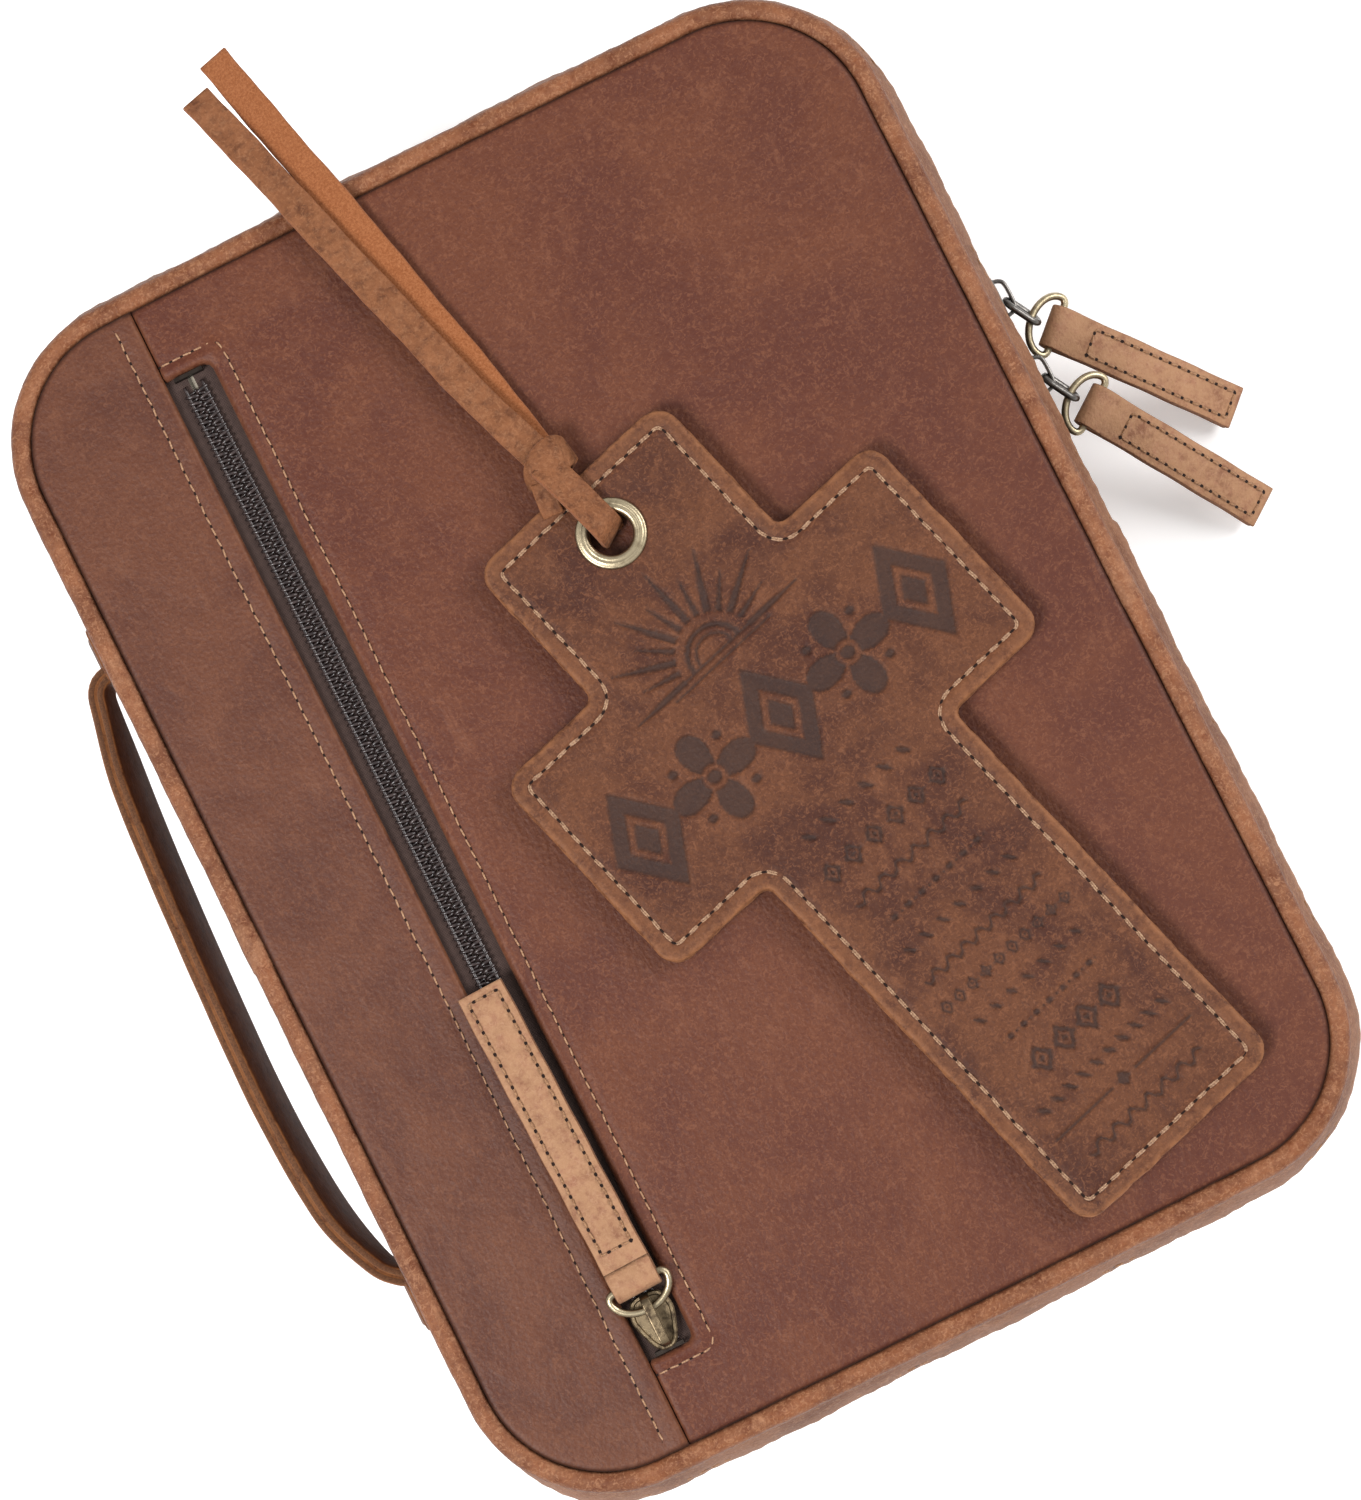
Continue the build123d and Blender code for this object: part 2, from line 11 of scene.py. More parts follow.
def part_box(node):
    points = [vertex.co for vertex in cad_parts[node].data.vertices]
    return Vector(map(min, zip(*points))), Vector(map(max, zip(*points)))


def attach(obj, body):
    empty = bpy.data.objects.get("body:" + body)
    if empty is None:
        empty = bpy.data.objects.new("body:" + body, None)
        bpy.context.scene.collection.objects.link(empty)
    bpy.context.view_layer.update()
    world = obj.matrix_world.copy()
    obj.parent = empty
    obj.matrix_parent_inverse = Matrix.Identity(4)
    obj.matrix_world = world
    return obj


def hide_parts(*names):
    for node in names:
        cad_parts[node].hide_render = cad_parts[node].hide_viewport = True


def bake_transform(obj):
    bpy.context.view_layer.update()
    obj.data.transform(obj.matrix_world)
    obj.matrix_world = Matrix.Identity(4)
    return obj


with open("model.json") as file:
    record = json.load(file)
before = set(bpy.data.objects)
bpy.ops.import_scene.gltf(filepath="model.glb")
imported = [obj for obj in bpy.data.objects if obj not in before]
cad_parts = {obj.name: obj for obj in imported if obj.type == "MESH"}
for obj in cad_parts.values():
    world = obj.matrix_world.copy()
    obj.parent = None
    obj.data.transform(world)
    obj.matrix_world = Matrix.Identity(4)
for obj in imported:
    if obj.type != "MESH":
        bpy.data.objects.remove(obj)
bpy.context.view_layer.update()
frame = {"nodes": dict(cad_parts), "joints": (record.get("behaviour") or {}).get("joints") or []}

rng = random.Random(7)
M = 0.001               # the helpers below work in millimetres
X, Y, UP = np.eye(3)
nodes = frame["nodes"]


def span(node):
    """Lowest and highest corners of a CAD node, in millimetres."""
    low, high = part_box(node)
    return np.array(low) / M, np.array(high) / M


# ---- sizes taken from the frame ----
pipe_low, pipe_high = span("back_piping")
PIPE_R = (pipe_high[2] - pipe_low[2]) / 2
PX = pipe_high[0] - PIPE_R
PY = pipe_high[1] - PIPE_R
CORNER = 28.0           # corner radius at the piping centre
END_BOW = 0.8           # how far the short sides bow outward
TOP = span("front_main_panel")[1][2]
MID = TOP / 2
PANEL_INSET = 2.1       # leather edge, in from the piping centre
LEATHER_T = 1.8         # depth of the front and back panels
wall_low, wall_high = span("back_gusset")
strip_x = span("front_strip_panel")[1][0]
slot_x = span("pocket_tape_right")[1][0] - 6.5
slot_low = span("pocket_tape_right")[0][1] + 6.0
slot_top = span("pocket_tape_right")[1][1] - 6.0
chain_x = (strip_x + slot_x) / 2


# ---- camera ----
def make_camera():
    data = bpy.data.cameras.new("camera")
    data.sensor_fit = "VERTICAL"
    data.sensor_height = 36
    data.lens = 100
    data.clip_start = 0.01
    camera = bpy.data.objects.new("camera", data)
    bpy.context.scene.collection.objects.link(camera)
    look = Vector((-0.0006, 0.0617, -0.9981)).normalized()
    up = Vector((0.4472, 0.8928, 0.0549))
    right = look.cross(up).normalized()
    up = right.cross(look)
    matrix = camera.matrix_world
    for row in range(3):
        matrix[row][0] = right[row]
        matrix[row][1] = up[row]
        matrix[row][2] = -look[row]
    matrix[0][3], matrix[1][3], matrix[2][3] = 0.0005, -0.0549, 0.8979
    camera.matrix_world = matrix
    bpy.context.scene.camera = camera


make_camera()


# ---- mesh helpers ----
def mesh_object(name, verts, faces, materials, smooth=True):
    """Mesh object from points in millimetres."""
    mesh = bpy.data.meshes.new(name)
    verts = np.asarray(verts, float) * M
    mesh.from_pydata(verts.tolist(), [], faces)
    for material in materials if isinstance(materials, (list, tuple)) else [materials]:
        mesh.materials.append(material)
    mesh.polygons.foreach_set("use_smooth", [smooth] * len(mesh.polygons))
    mesh.update()
    obj = bpy.data.objects.new(name, mesh)
    bpy.context.scene.collection.objects.link(obj)
    return obj


def point_value(obj, name, values):
    """Stores one number per vertex for a material to read."""
    layer = obj.data.attributes.new(name, "FLOAT", "POINT")
    layer.data.foreach_set("value", np.asarray(values, np.float32))


def unit(v):
    v = np.asarray(v, float)
    length = np.linalg.norm(v, axis=-1, keepdims=True)
    return v / np.maximum(length, 1e-9)


def smooth_step(x, a, b):
    t = np.clip((np.asarray(x, float) - a) / (b - a), 0, 1)
    return t * t * (3 - 2 * t)


def ripple(x, y, size, seed):
    """Smooth, repeatable unevenness between about -1 and 1, with features of the given size."""
    local = np.random.default_rng(seed)
    total = np.zeros_like(np.asarray(x, float))
    for _ in range(7):
        angle, phase = local.uniform(0, 2 * math.pi, 2)
        k = 2 * math.pi / (size * local.uniform(0.7, 1.8))
        total = total + np.sin(k * (x * math.cos(angle) + y * math.sin(angle)) + phase)
    return total / 4.5


def rounded_profile(width, thick, radius, groove=0.0):
    """Section of a flat strip with rounded edges, and a groove along each side where two layers meet."""
    pts = []
    half_w, half_t = width / 2, thick / 2
    for sx, sy, start in ((1, 1, 0), (-1, 1, 90), (-1, -1, 180), (1, -1, 270)):
        for step in (0, 30, 60, 90):
            angle = math.radians(start + step)
            cx = sx * (half_w - radius)
            cy = sy * (half_t - radius)
            pts.append((cx + radius * math.cos(angle), cy + radius * math.sin(angle)))
        if groove and start in (90, 270):
            side = -1 if start == 90 else 1
            edge = side * half_w
            order = 1 if start == 90 else -1
            for dy, inset in ((0.35, 0), (0, groove), (-0.35, 0)):
                pts.append((edge - side * inset, order * dy))
    return pts


def distance_along(points):
    return np.concatenate([[0], np.cumsum(np.linalg.norm(np.diff(points, axis=0), axis=1))])


def at_distance(values, along, wanted):
    """Values given at distances along a path, read off at other distances."""
    return np.stack([np.interp(wanted, along, column) for column in values.T], -1)


def resample(points, step):
    """Points along a polyline at about the given spacing, with their distances along it."""
    points = np.asarray(points, float)
    along = distance_along(points)
    count = max(2, int(round(along[-1] / step)) + 1)
    wanted = np.linspace(0, along[-1], count)
    return at_distance(points, along, wanted), wanted


def circle(sides):
    angle = np.linspace(0, 2 * math.pi, sides + 1)[:-1]
    return np.stack([np.cos(angle), np.sin(angle)], 1)


def arc(cx, cy, radius, start, end, count):
    """Points on an arc between two angles in degrees."""
    angles = np.radians(np.linspace(start, end, count))
    return [(cx + radius * math.cos(a), cy + radius * math.sin(a)) for a in angles]


def smooth_curve(points, step):
    """Catmull-Rom curve through given points."""
    p = np.asarray(points, float)
    p = np.vstack([2 * p[0] - p[1], p, 2 * p[-1] - p[-2]])
    out = []
    for a, b, c, d in zip(p, p[1:], p[2:], p[3:]):
        for t in np.linspace(0, 1, 20, endpoint=False):
            out.append(0.5 * (2 * b + (c - a) * t + (2 * a - 5 * b + 4 * c - d) * t**2
                              + (3 * b - a - 3 * c + d) * t**3))
    out.append(p[-2])
    return resample(out, step)[0]


def tangents(path, closed=False):
    if closed:
        return unit(np.roll(path, -1, 0) - np.roll(path, 1, 0))
    return unit(np.gradient(path, axis=0))


def inward_of(loop):
    """Directions that point into an anticlockwise loop."""
    way = tangents(loop, True)
    return np.stack([-way[:, 1], way[:, 0]], 1)


def ring_faces(count, rings, closed=False):
    """Faces that join each ring of points to the next."""
    faces = []
    for k in range(rings if closed else rings - 1):
        a, b = k * count, (k + 1) % rings * count
        faces += [(a + j, a + (j + 1) % count, b + (j + 1) % count, b + j) for j in range(count)]
    return faces


def sweep(path, ups, profile, closed_path=False):
    """Sweeps (across, up) section points along a path: one section for all points, or one for each."""
    path = np.asarray(path, float)
    profile = np.asarray(profile, float)
    tang = tangents(path, closed_path)
    side = unit(np.cross(tang, ups))
    upward = unit(np.cross(side, tang))
    n, m = len(path), profile.shape[-2]
    sections = np.broadcast_to(profile, (n, m, 2))
    verts = path[:, None] + side[:, None] * sections[:, :, :1] + upward[:, None] * sections[:, :, 1:]
    faces = ring_faces(m, n, closed_path)
    if not closed_path:
        faces += [tuple(range(m - 1, -1, -1)), tuple(range((n - 1) * m, n * m))]
    return verts.reshape(-1, 3), faces


def joined(parts):
    """One list of verts and faces from several."""
    verts, faces, base = [], [], 0
    for v, f in parts:
        verts.append(np.asarray(v, float))
        faces += [tuple(i + base for i in face) for face in f]
        base += len(v)
    return np.vstack(verts), faces


def inside(points, loop):
    """Which points lie inside a closed polyline."""
    x, y = points[:, 0], points[:, 1]
    result = np.zeros(len(points), bool)
    for (x1, y1), (x2, y2) in zip(loop, np.roll(loop, -1, 0)):
        crosses = (y1 > y) != (y2 > y)
        if not crosses.any():
            continue
        result ^= crosses & (x < (x2 - x1) * (y - y1) / (y2 - y1 + 1e-12) + x1)
    return result


def distance_to(points, loop, closed=True):
    """Distance of each point to a polyline."""
    loop = np.asarray(loop, float)
    ends = np.roll(loop, -1, 0) if closed else loop[1:]
    best = np.full(len(points), 1e9)
    for a, b in zip(loop, ends):
        d = b - a
        t = np.clip(((points - a) @ d) / max(d @ d, 1e-12), 0, 1)
        best = np.minimum(best, np.linalg.norm(points - a - t[:, None] * d, axis=1))
    return best


def flat_mesh(outer, holes, spacing, edge_rows=()):
    """Triangles that fill an outline, with extra rows of points near its edge."""
    outer = np.asarray(outer, float)[:, :2]
    low, high = outer.min(0), outer.max(0)
    gx = np.arange(low[0], high[0], spacing)
    gy = np.arange(low[1], high[1], spacing * 0.866)
    grid = np.array([(x + (0.5 * spacing if k % 2 else 0), y) for k, y in enumerate(gy) for x in gx])
    keep = inside(grid, outer)
    loops = [outer] + [np.asarray(h, float) for h in holes]
    clear = np.full(len(grid), 1e9)
    for loop in loops:
        clear = np.minimum(clear, distance_to(grid, loop))
    for h in holes:
        keep &= ~inside(grid, np.asarray(h, float))
    grid = grid[keep & (clear > max([spacing * 0.5] + [r + 0.25 for r in edge_rows]))]
    rows = []
    for loop in loops:
        normal = inward_of(loop)
        for r in edge_rows:
            for sign in (1, -1):
                moved = loop + normal * r * sign
                good = inside(moved, outer) & (distance_to(moved, outer) > r * 0.9)
                for h in holes:
                    good &= ~inside(moved, np.asarray(h, float)) & (distance_to(moved, h) > r * 0.9)
                rows.append(moved[good])
    points, edges = [], []
    for loop in loops:
        base = len(points)
        points += [Vector(p[:2]) for p in loop]
        edges += [(base + i, base + (i + 1) % len(loop)) for i in range(len(loop))]
    for p in np.vstack(rows + [grid]):
        points.append(Vector(p))
    found = delaunay_2d_cdt(points, edges, [], 0, 1e-4)
    xy = np.array([tuple(v) for v in found[0]])
    tris = np.array([f for f in found[2] if len(f) == 3])
    middle = xy[tris].mean(1)
    good = inside(middle, outer)
    for h in holes:
        good &= ~inside(middle, np.asarray(h, float))
    tris = tris[good]
    a, b, c = xy[tris[:, 0]], xy[tris[:, 1]], xy[tris[:, 2]]
    turn = (b - a)[:, 0] * (c - a)[:, 1] - (b - a)[:, 1] * (c - a)[:, 0]
    tris[turn < 0] = tris[turn < 0][:, ::-1]
    used = np.unique(tris)
    renumber = np.full(len(xy), -1)
    renumber[used] = np.arange(len(used))
    return xy[used], renumber[tris]


def border(tris):
    """Directed border edges of a triangle list."""
    edges = {}
    for t in tris:
        for a, b in ((t[0], t[1]), (t[1], t[2]), (t[2], t[0])):
            edges[(int(a), int(b))] = True
    return [e for e in edges if (e[1], e[0]) not in edges]


def thick_sheet(xy, tris, top, bottom):
    """Closed sheet between two heights given per point."""
    n = len(xy)
    verts = np.vstack([np.column_stack([xy, top]), np.column_stack([xy, bottom])])
    faces = [tuple(int(i) for i in t) for t in tris]
    faces += [tuple(int(i) + n for i in t[::-1]) for t in tris]
    faces += [(b, a, a + n, b + n) for a, b in border(tris)]
    return verts, faces


# ---- materials ----
def srgb(r, g, b):
    """Screen colour 0-255 as a linear colour."""
    out = []
    for v in (r, g, b):
        v /= 255
        out.append(v / 12.92 if v <= 0.04045 else ((v + 0.055) / 1.055) ** 2.4)
    return (*out, 1.0)


VEIL = 0.018            # share of white that the sheen of leather adds under this light
GAIN = 1.72             # how much brighter than its own colour a surface that faces up looks


def seen(r, g, b):
    """Colour of a surface that should look like this screen colour in the finished light."""
    return (*[max((v - VEIL) / GAIN, 0.25 * v) for v in srgb(r, g, b)[:3]], 1.0)


class Shader:
    """Small helper that builds one node material."""

    def __init__(self, name):
        self.material = bpy.data.materials.new(name)
        self.material.use_nodes = True
        self.tree = self.material.node_tree
        self.tree.nodes.clear()
        self.output = self.tree.nodes.new("ShaderNodeOutputMaterial")
        self.bsdf = self.tree.nodes.new("ShaderNodeBsdfPrincipled")
        self.tree.links.new(self.bsdf.outputs[0], self.output.inputs[0])
        self.place = self.tree.nodes.new("ShaderNodeTexCoord").outputs["Object"]

    def put(self, socket, value):
        if isinstance(value, bpy.types.NodeSocket):
            self.tree.links.new(value, socket)
        else:
            socket.default_value = value

    def set(self, **values):
        for name, value in values.items():
            self.put(self.bsdf.inputs[name.replace("_", " ")], value)
        return self

    def stretched(self, x, y, z):
        node = self.tree.nodes.new("ShaderNodeMapping")
        node.inputs["Scale"].default_value = (x, y, z)
        self.tree.links.new(self.place, node.inputs["Vector"])
        return node.outputs[0]

    def noise(self, size, detail=4, rough=0.55, place=None, twist=0.0):
        """Cloudy pattern whose features are about size millimetres."""
        node = self.tree.nodes.new("ShaderNodeTexNoise")
        self.tree.links.new(place or self.place, node.inputs["Vector"])
        node.inputs["Scale"].default_value = 1000 / size
        node.inputs["Detail"].default_value = detail
        node.inputs["Roughness"].default_value = rough
        node.inputs["Distortion"].default_value = twist
        return node.outputs[0]

    def cells(self, size):
        """Soft pebbles about size millimetres wide."""
        node = self.tree.nodes.new("ShaderNodeTexVoronoi")
        node.feature = "SMOOTH_F1"
        self.tree.links.new(self.place, node.inputs["Vector"])
        node.inputs["Scale"].default_value = 1000 / size
        return node.outputs["Distance"]

    def waves(self, size, direction):
        node = self.tree.nodes.new("ShaderNodeTexWave")
        node.bands_direction = direction
        self.tree.links.new(self.place, node.inputs["Vector"])
        node.inputs["Scale"].default_value = 500 / size
        return node.outputs["Fac"]

    def value(self, name):
        node = self.tree.nodes.new("ShaderNodeAttribute")
        node.attribute_name = name
        return node.outputs["Fac"]

    def math(self, operation, a, b=0.0, clamp=False):
        node = self.tree.nodes.new("ShaderNodeMath")
        node.operation = operation
        node.use_clamp = clamp
        self.put(node.inputs[0], a)
        self.put(node.inputs[1], b)
        return node.outputs[0]

    def ramp(self, source, low, high):
        """0 below low, 1 above high."""
        node = self.tree.nodes.new("ShaderNodeMapRange")
        node.interpolation_type = "SMOOTHSTEP"
        self.put(node.inputs["Value"], source)
        node.inputs["From Min"].default_value = low
        node.inputs["From Max"].default_value = high
        return node.outputs[0]

    def mix(self, amount, a, b, blend="MIX"):
        node = self.tree.nodes.new("ShaderNodeMix")
        node.data_type = "RGBA"
        node.blend_type = blend
        self.put(node.inputs[0], amount)
        self.put(node.inputs[6], a)
        self.put(node.inputs[7], b)
        return node.outputs[2]

    def bump(self, height, distance, below=None):
        """Height pattern as a bump, in millimetres."""
        node = self.tree.nodes.new("ShaderNodeBump")
        node.inputs["Strength"].default_value = 1.0
        node.inputs["Distance"].default_value = distance * M
        self.put(node.inputs["Height"], height)
        if below is not None:
            self.put(node.inputs["Normal"], below)
        self.put(self.bsdf.inputs["Normal"], node.outputs[0])
        return node.outputs[0]


def leather(name, base, dark, light, worn, rough=0.5, nap=0.7, mottle=22, relief=0.13, blotch=0.8,
            gloss=0.28, speckle=0.5):
    """Oiled leather: soft blotches, short scuffs, a crackled nap, worn high spots and painted shade. The edge
    value sets the worn tone, and on the piping it also carries a painted highlight; the crease value sets the
    painted shade.

    Its four tones are screen colours.
    """
    s = Shader(name)
    base, dark, light, worn = seen(*base), seen(*dark), seen(*light), seen(*worn)
    cloud = s.noise(mottle, 6, 0.62, twist=0.5)
    scuff = s.noise(5.5, 5, 0.68, place=s.stretched(1.0, 0.45, 1.0), twist=0.8)
    fine = s.noise(1.7, 5, 0.72)
    grit = s.noise(nap, 3, 0.62)
    crackle = s.noise(1.15, 4, 0.6, twist=1.8)
    colour = base
    for pattern, low, high, amount, tone in (
        (cloud, 0.62, 0.36, blotch, dark),
        (scuff, 0.54, 0.76, 0.45, light),
        (fine, 0.50, 0.74, 0.42, light),
        (crackle, 0.50, 0.64, speckle, light),
        (grit, 0.49, 0.66, 0.40, dark),
    ):
        colour = s.mix(s.math("MULTIPLY", s.ramp(pattern, low, high), amount), colour, tone)
    # Worn tone where the edge value is set; on the piping that value also holds a painted highlight.
    wear_and_painted_highlight = s.math("MULTIPLY", s.value("edge"), s.ramp(s.noise(2.6, 5, 0.68), 0.28, 0.60), clamp=True)
    colour = s.mix(wear_and_painted_highlight, colour, worn)
    # Painted shade: where the crease value is set, the colour goes most of the way to a tone far darker than
    # the dark tone.
    painted_shade_tone = (*[0.22 * v for v in dark[:3]], 1.0)
    colour = s.mix(s.math("MULTIPLY", s.value("crease"), 0.85), colour, painted_shade_tone)
    s.set(Base_Color=colour, Specular_IOR_Level=gloss, Sheen_Weight=0.02, Sheen_Roughness=0.5)
    s.set(Roughness=s.math("ADD", s.math("MULTIPLY", fine, 0.25), rough - 0.12))
    soft = s.bump(cloud, 0.5)
    creased = s.bump(scuff, relief * 1.6, soft)
    pebbled = s.bump(s.cells(nap * 1.25), relief * 0.7, creased)
    s.bump(grit, relief, pebbled)
    return s


def raw_edge(name, base, light):
    """Fibrous cut edge of leather."""
    s = Shader(name)
    fuzz = s.noise(0.5, 6, 0.8, place=s.stretched(1, 1, 3))
    s.set(Base_Color=s.mix(s.ramp(fuzz, 0.35, 0.7), base, light), Roughness=0.9)
    s.set(Specular_IOR_Level=0.15, Sheen_Weight=0.08, Sheen_Roughness=0.5)
    s.bump(fuzz, 0.35)
    return s


def cloth(name, base, light, thread=0.55):
    """Plain weave."""
    s = Shader(name)
    weave = s.math("MAXIMUM", s.waves(thread, "X"), s.waves(thread, "Y"))
    tone = s.math("ADD", s.math("MULTIPLY", weave, 0.7), s.math("MULTIPLY", s.noise(1.4, 4), 0.5))
    s.set(Base_Color=s.mix(s.ramp(tone, 0.4, 1.1), base, light), Roughness=0.85)
    s.set(Sheen_Weight=0.25, Sheen_Roughness=0.4, Specular_IOR_Level=0.25)
    s.bump(tone, 0.14)
    return s


def metal(name, base, dark, rough, tarnish=0.5):
    s = Shader(name)
    cloud = s.noise(2.2, 5, 0.7)
    colour = s.mix(s.math("MULTIPLY", s.ramp(cloud, 0.42, 0.66), tarnish), base, dark)
    s.set(Base_Color=colour, Metallic=1.0)
    s.set(Roughness=s.math("ADD", s.math("MULTIPLY", cloud, 0.35), rough - 0.16))
    s.bump(s.noise(0.25, 3, 0.6), 0.03)
    return s


def thread_material(name, base, dark):
    s = Shader(name)
    twist = s.noise(0.35, 4, 0.7)
    s.set(Base_Color=s.mix(s.ramp(twist, 0.35, 0.65), dark, base), Roughness=0.62)
    s.set(Sheen_Weight=0.2, Sheen_Roughness=0.4, Specular_IOR_Level=0.35)
    s.bump(twist, 0.12)
    return s


def nylon(name, base, light):
    s = Shader(name)
    tone = s.noise(0.9, 3, 0.6)
    s.set(Base_Color=s.mix(s.ramp(tone, 0.35, 0.7), base, light))
    s.set(Roughness=s.math("ADD", s.math("MULTIPLY", tone, 0.2), 0.16), Specular_IOR_Level=0.6)
    s.bump(tone, 0.03)
    return s


def page_edges():
    """Thousands of thin leaves seen on edge, with worn gilding."""
    s = Shader("page_edges")
    leaves = s.noise(0.35, 6, 0.8, place=s.stretched(0.02, 0.02, 1.0))
    groups = s.noise(2.5, 3, 0.6, place=s.stretched(0.03, 0.03, 1.0))
    paper = s.mix(s.ramp(leaves, 0.35, 0.7), srgb(176, 150, 104), srgb(236, 222, 184))
    gilt = s.mix(s.math("MULTIPLY", s.ramp(groups, 0.4, 0.65), 0.5), paper, srgb(196, 158, 84))
    s.set(Base_Color=gilt, Roughness=0.5, Specular_IOR_Level=0.45, Metallic=0.25)
    s.bump(leaves, 0.12)
    return s


def pulp(name, base, light, size, detail, grain, relief):
    """Paper or board: matt, with short fibres."""
    s = Shader(name)
    fibre = s.noise(size, detail, grain)
    s.set(Base_Color=s.mix(s.ramp(fibre, 0.3, 0.7), base, light))
    s.bump(fibre, relief)
    return s


def satin(name, base, light):
    s = Shader(name)
    rib = s.waves(0.35, "X")
    s.set(Base_Color=s.mix(rib, base, light), Roughness=0.38, Sheen_Weight=0.4, Sheen_Roughness=0.3)
    s.bump(rib, 0.05)
    return s


panel_leather = leather("panel_leather", (119, 70, 51), (97, 54, 39), (149, 96, 71), (161, 108, 80),
                        rough=0.55, mottle=34, blotch=0.7).material
strip_leather = leather("strip_leather", (118, 73, 55), (95, 57, 43), (144, 95, 71), (168, 111, 79),
                        rough=0.53, mottle=24, blotch=0.7, speckle=0.4).material
piping_leather = leather("piping_leather", (156, 98, 69), (110, 63, 44), (202, 147, 111), (204, 150, 114),
                         nap=0.5, mottle=12, relief=0.16, gloss=0.16).material
gusset_leather = leather("gusset_leather", (158, 108, 80), (118, 74, 54), (202, 154, 122), (212, 166, 132),
                         rough=0.6, mottle=18, gloss=0.08).material
handle_leather = leather("handle_leather", (128, 84, 62), (88, 56, 43), (170, 118, 84), (176, 118, 78),
                         rough=0.55, mottle=10, gloss=0.12).material
pull_leather = leather("pull_leather", (186, 134, 106), (142, 96, 74), (210, 164, 134), (206, 160, 122),
                       rough=0.6, nap=0.5, mottle=9, gloss=0.18).material
cross_leather = leather("cross_leather", (118, 76, 56), (86, 55, 43), (152, 101, 74), (176, 120, 84),
                        rough=0.58, mottle=16, blotch=0.95, relief=0.16, gloss=0.2)
lace_grain = leather("lace_grain", (142, 95, 70), (94, 60, 45), (178, 130, 98), (192, 128, 88),
                     rough=0.6, nap=0.6, mottle=6, relief=0.24, gloss=0.14).material
bible_leather = leather("bible_leather", (52, 41, 37), (34, 26, 24), (76, 61, 55), (86, 70, 62),
                        rough=0.42, nap=1.0, mottle=30).material
lace_suede = raw_edge("lace_suede", seen(172, 104, 66), seen(212, 140, 96)).material
cut_edge = raw_edge("cut_edge", seen(148, 98, 70), seen(204, 150, 112)).material
waxed_edge = raw_edge("waxed_edge", seen(118, 82, 64), seen(164, 116, 84)).material
hole_shade = raw_edge("hole_shade", srgb(24, 14, 11), srgb(44, 27, 20)).material
lining = cloth("lining", srgb(70, 56, 46), srgb(104, 86, 72)).material
tape_cloth = cloth("tape_cloth", srgb(44, 32, 30), srgb(84, 66, 60), thread=0.5).material
band_cloth = cloth("band_cloth", srgb(150, 118, 60), srgb(226, 206, 160), thread=0.9).material
coil_nylon = nylon("coil_nylon", srgb(30, 22, 22), srgb(58, 46, 44)).material
brass = metal("brass", srgb(176, 162, 134), srgb(84, 70, 54), 0.34).material
dark_brass = metal("dark_brass", srgb(128, 112, 88), srgb(52, 42, 34), 0.38, tarnish=0.9).material
blackened = metal("blackened", srgb(52, 46, 42), srgb(26, 22, 20), 0.5).material
gunmetal = metal("gunmetal", srgb(116, 112, 108), srgb(58, 56, 56), 0.3).material
cream_thread = thread_material("cream_thread", seen(222, 180, 144), seen(150, 108, 82)).material
seam_thread = thread_material("seam_thread", seen(226, 180, 142), seen(172, 124, 90)).material
tan_thread = thread_material("tan_thread", seen(206, 158, 118), seen(150, 104, 72)).material
page_edge = page_edges().material
page_face = pulp("page_paper", seen(222, 207, 176), seen(234, 221, 194), 0.8, 5, 0.7, 0.03).set(
    Roughness=0.8, Specular_IOR_Level=0.2).material
board_grey = pulp("grey_board", srgb(150, 140, 124), srgb(192, 183, 166), 1.1, 6, 0.75, 0.12).set(
    Roughness=0.9).material
ribbon_red = satin("ribbon_red", srgb(112, 20, 26), srgb(160, 36, 42)).material


def finish(obj, body, slot, *replaced):
    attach(obj, body)
    if replaced:
        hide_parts(*replaced)
    return obj


# ---- stitching ----
def stitch_row(name, points, normals, body, slot, material, pitch=2.5, thread=0.2, cover=0.72,
               lift=0.08, doubled=False, closed=False):
    """Row of thread stitches along surface points, each dipping into a dark hole at both ends."""
    points = np.asarray(points, float)
    normals = np.broadcast_to(normals, points.shape)
    if closed:
        points = np.vstack([points, points[:1]])
        normals = np.vstack([normals, normals[:1]])
    along = distance_along(points)
    count = max(1, int(round(along[-1] / pitch)))
    step = along[-1] / count
    t = np.linspace(-1, 1, 9)
    strands, holes = [], []
    for k in range(count):
        middle = (k + 0.5) * step + rng.uniform(-0.06, 0.06)
        skew = rng.uniform(-0.12, 0.12)
        reach = middle + t * step * cover / 2
        base = at_distance(points, along, reach)
        up = unit(at_distance(normals, along, reach))
        side = unit(np.cross(tangents(base), up))
        swell = thread * (1 - 0.25 * np.abs(t) ** 3) * (1 + 0.10 * np.sin(t * 9 + k))
        rise = lift + thread * 0.55 - t**4 * (lift + thread * 1.5)
        for offset in ((-0.55, 0.55) if doubled else (0.0,)):
            path = base + up * rise[:, None] + side * (offset * thread * 1.7 + skew * t)[:, None]
            strands.append(sweep(path, up, circle(6)[None] * swell[:, None, None]))
    m = 10
    rim = circle(m) * (step * (1 - cover) / 2 + thread * 0.6, thread * 1.35)
    faces = [tuple(range(m)), tuple(range(2 * m - 1, m - 1, -1))]
    faces += [face[::-1] for face in ring_faces(m, 2)]
    for k in range(count if closed else count + 1):
        s = k * step
        behind, here, front = at_distance(points, along, [max(s - 0.2, 0), s, min(s + 0.2, along[-1])])
        up = unit(at_distance(normals, along, s))
        ahead = unit(front - behind)
        side = unit(np.cross(ahead, up))
        ring = here + up * 0.07 + rim[:, :1] * ahead + rim[:, 1:] * side
        holes.append((np.vstack([ring, ring - up * 0.35]), faces))
    finish(mesh_object(name, *joined(strands), material), body, slot)
    finish(mesh_object(name + "_holes", *joined(holes), hole_shade, smooth=False), body, slot)


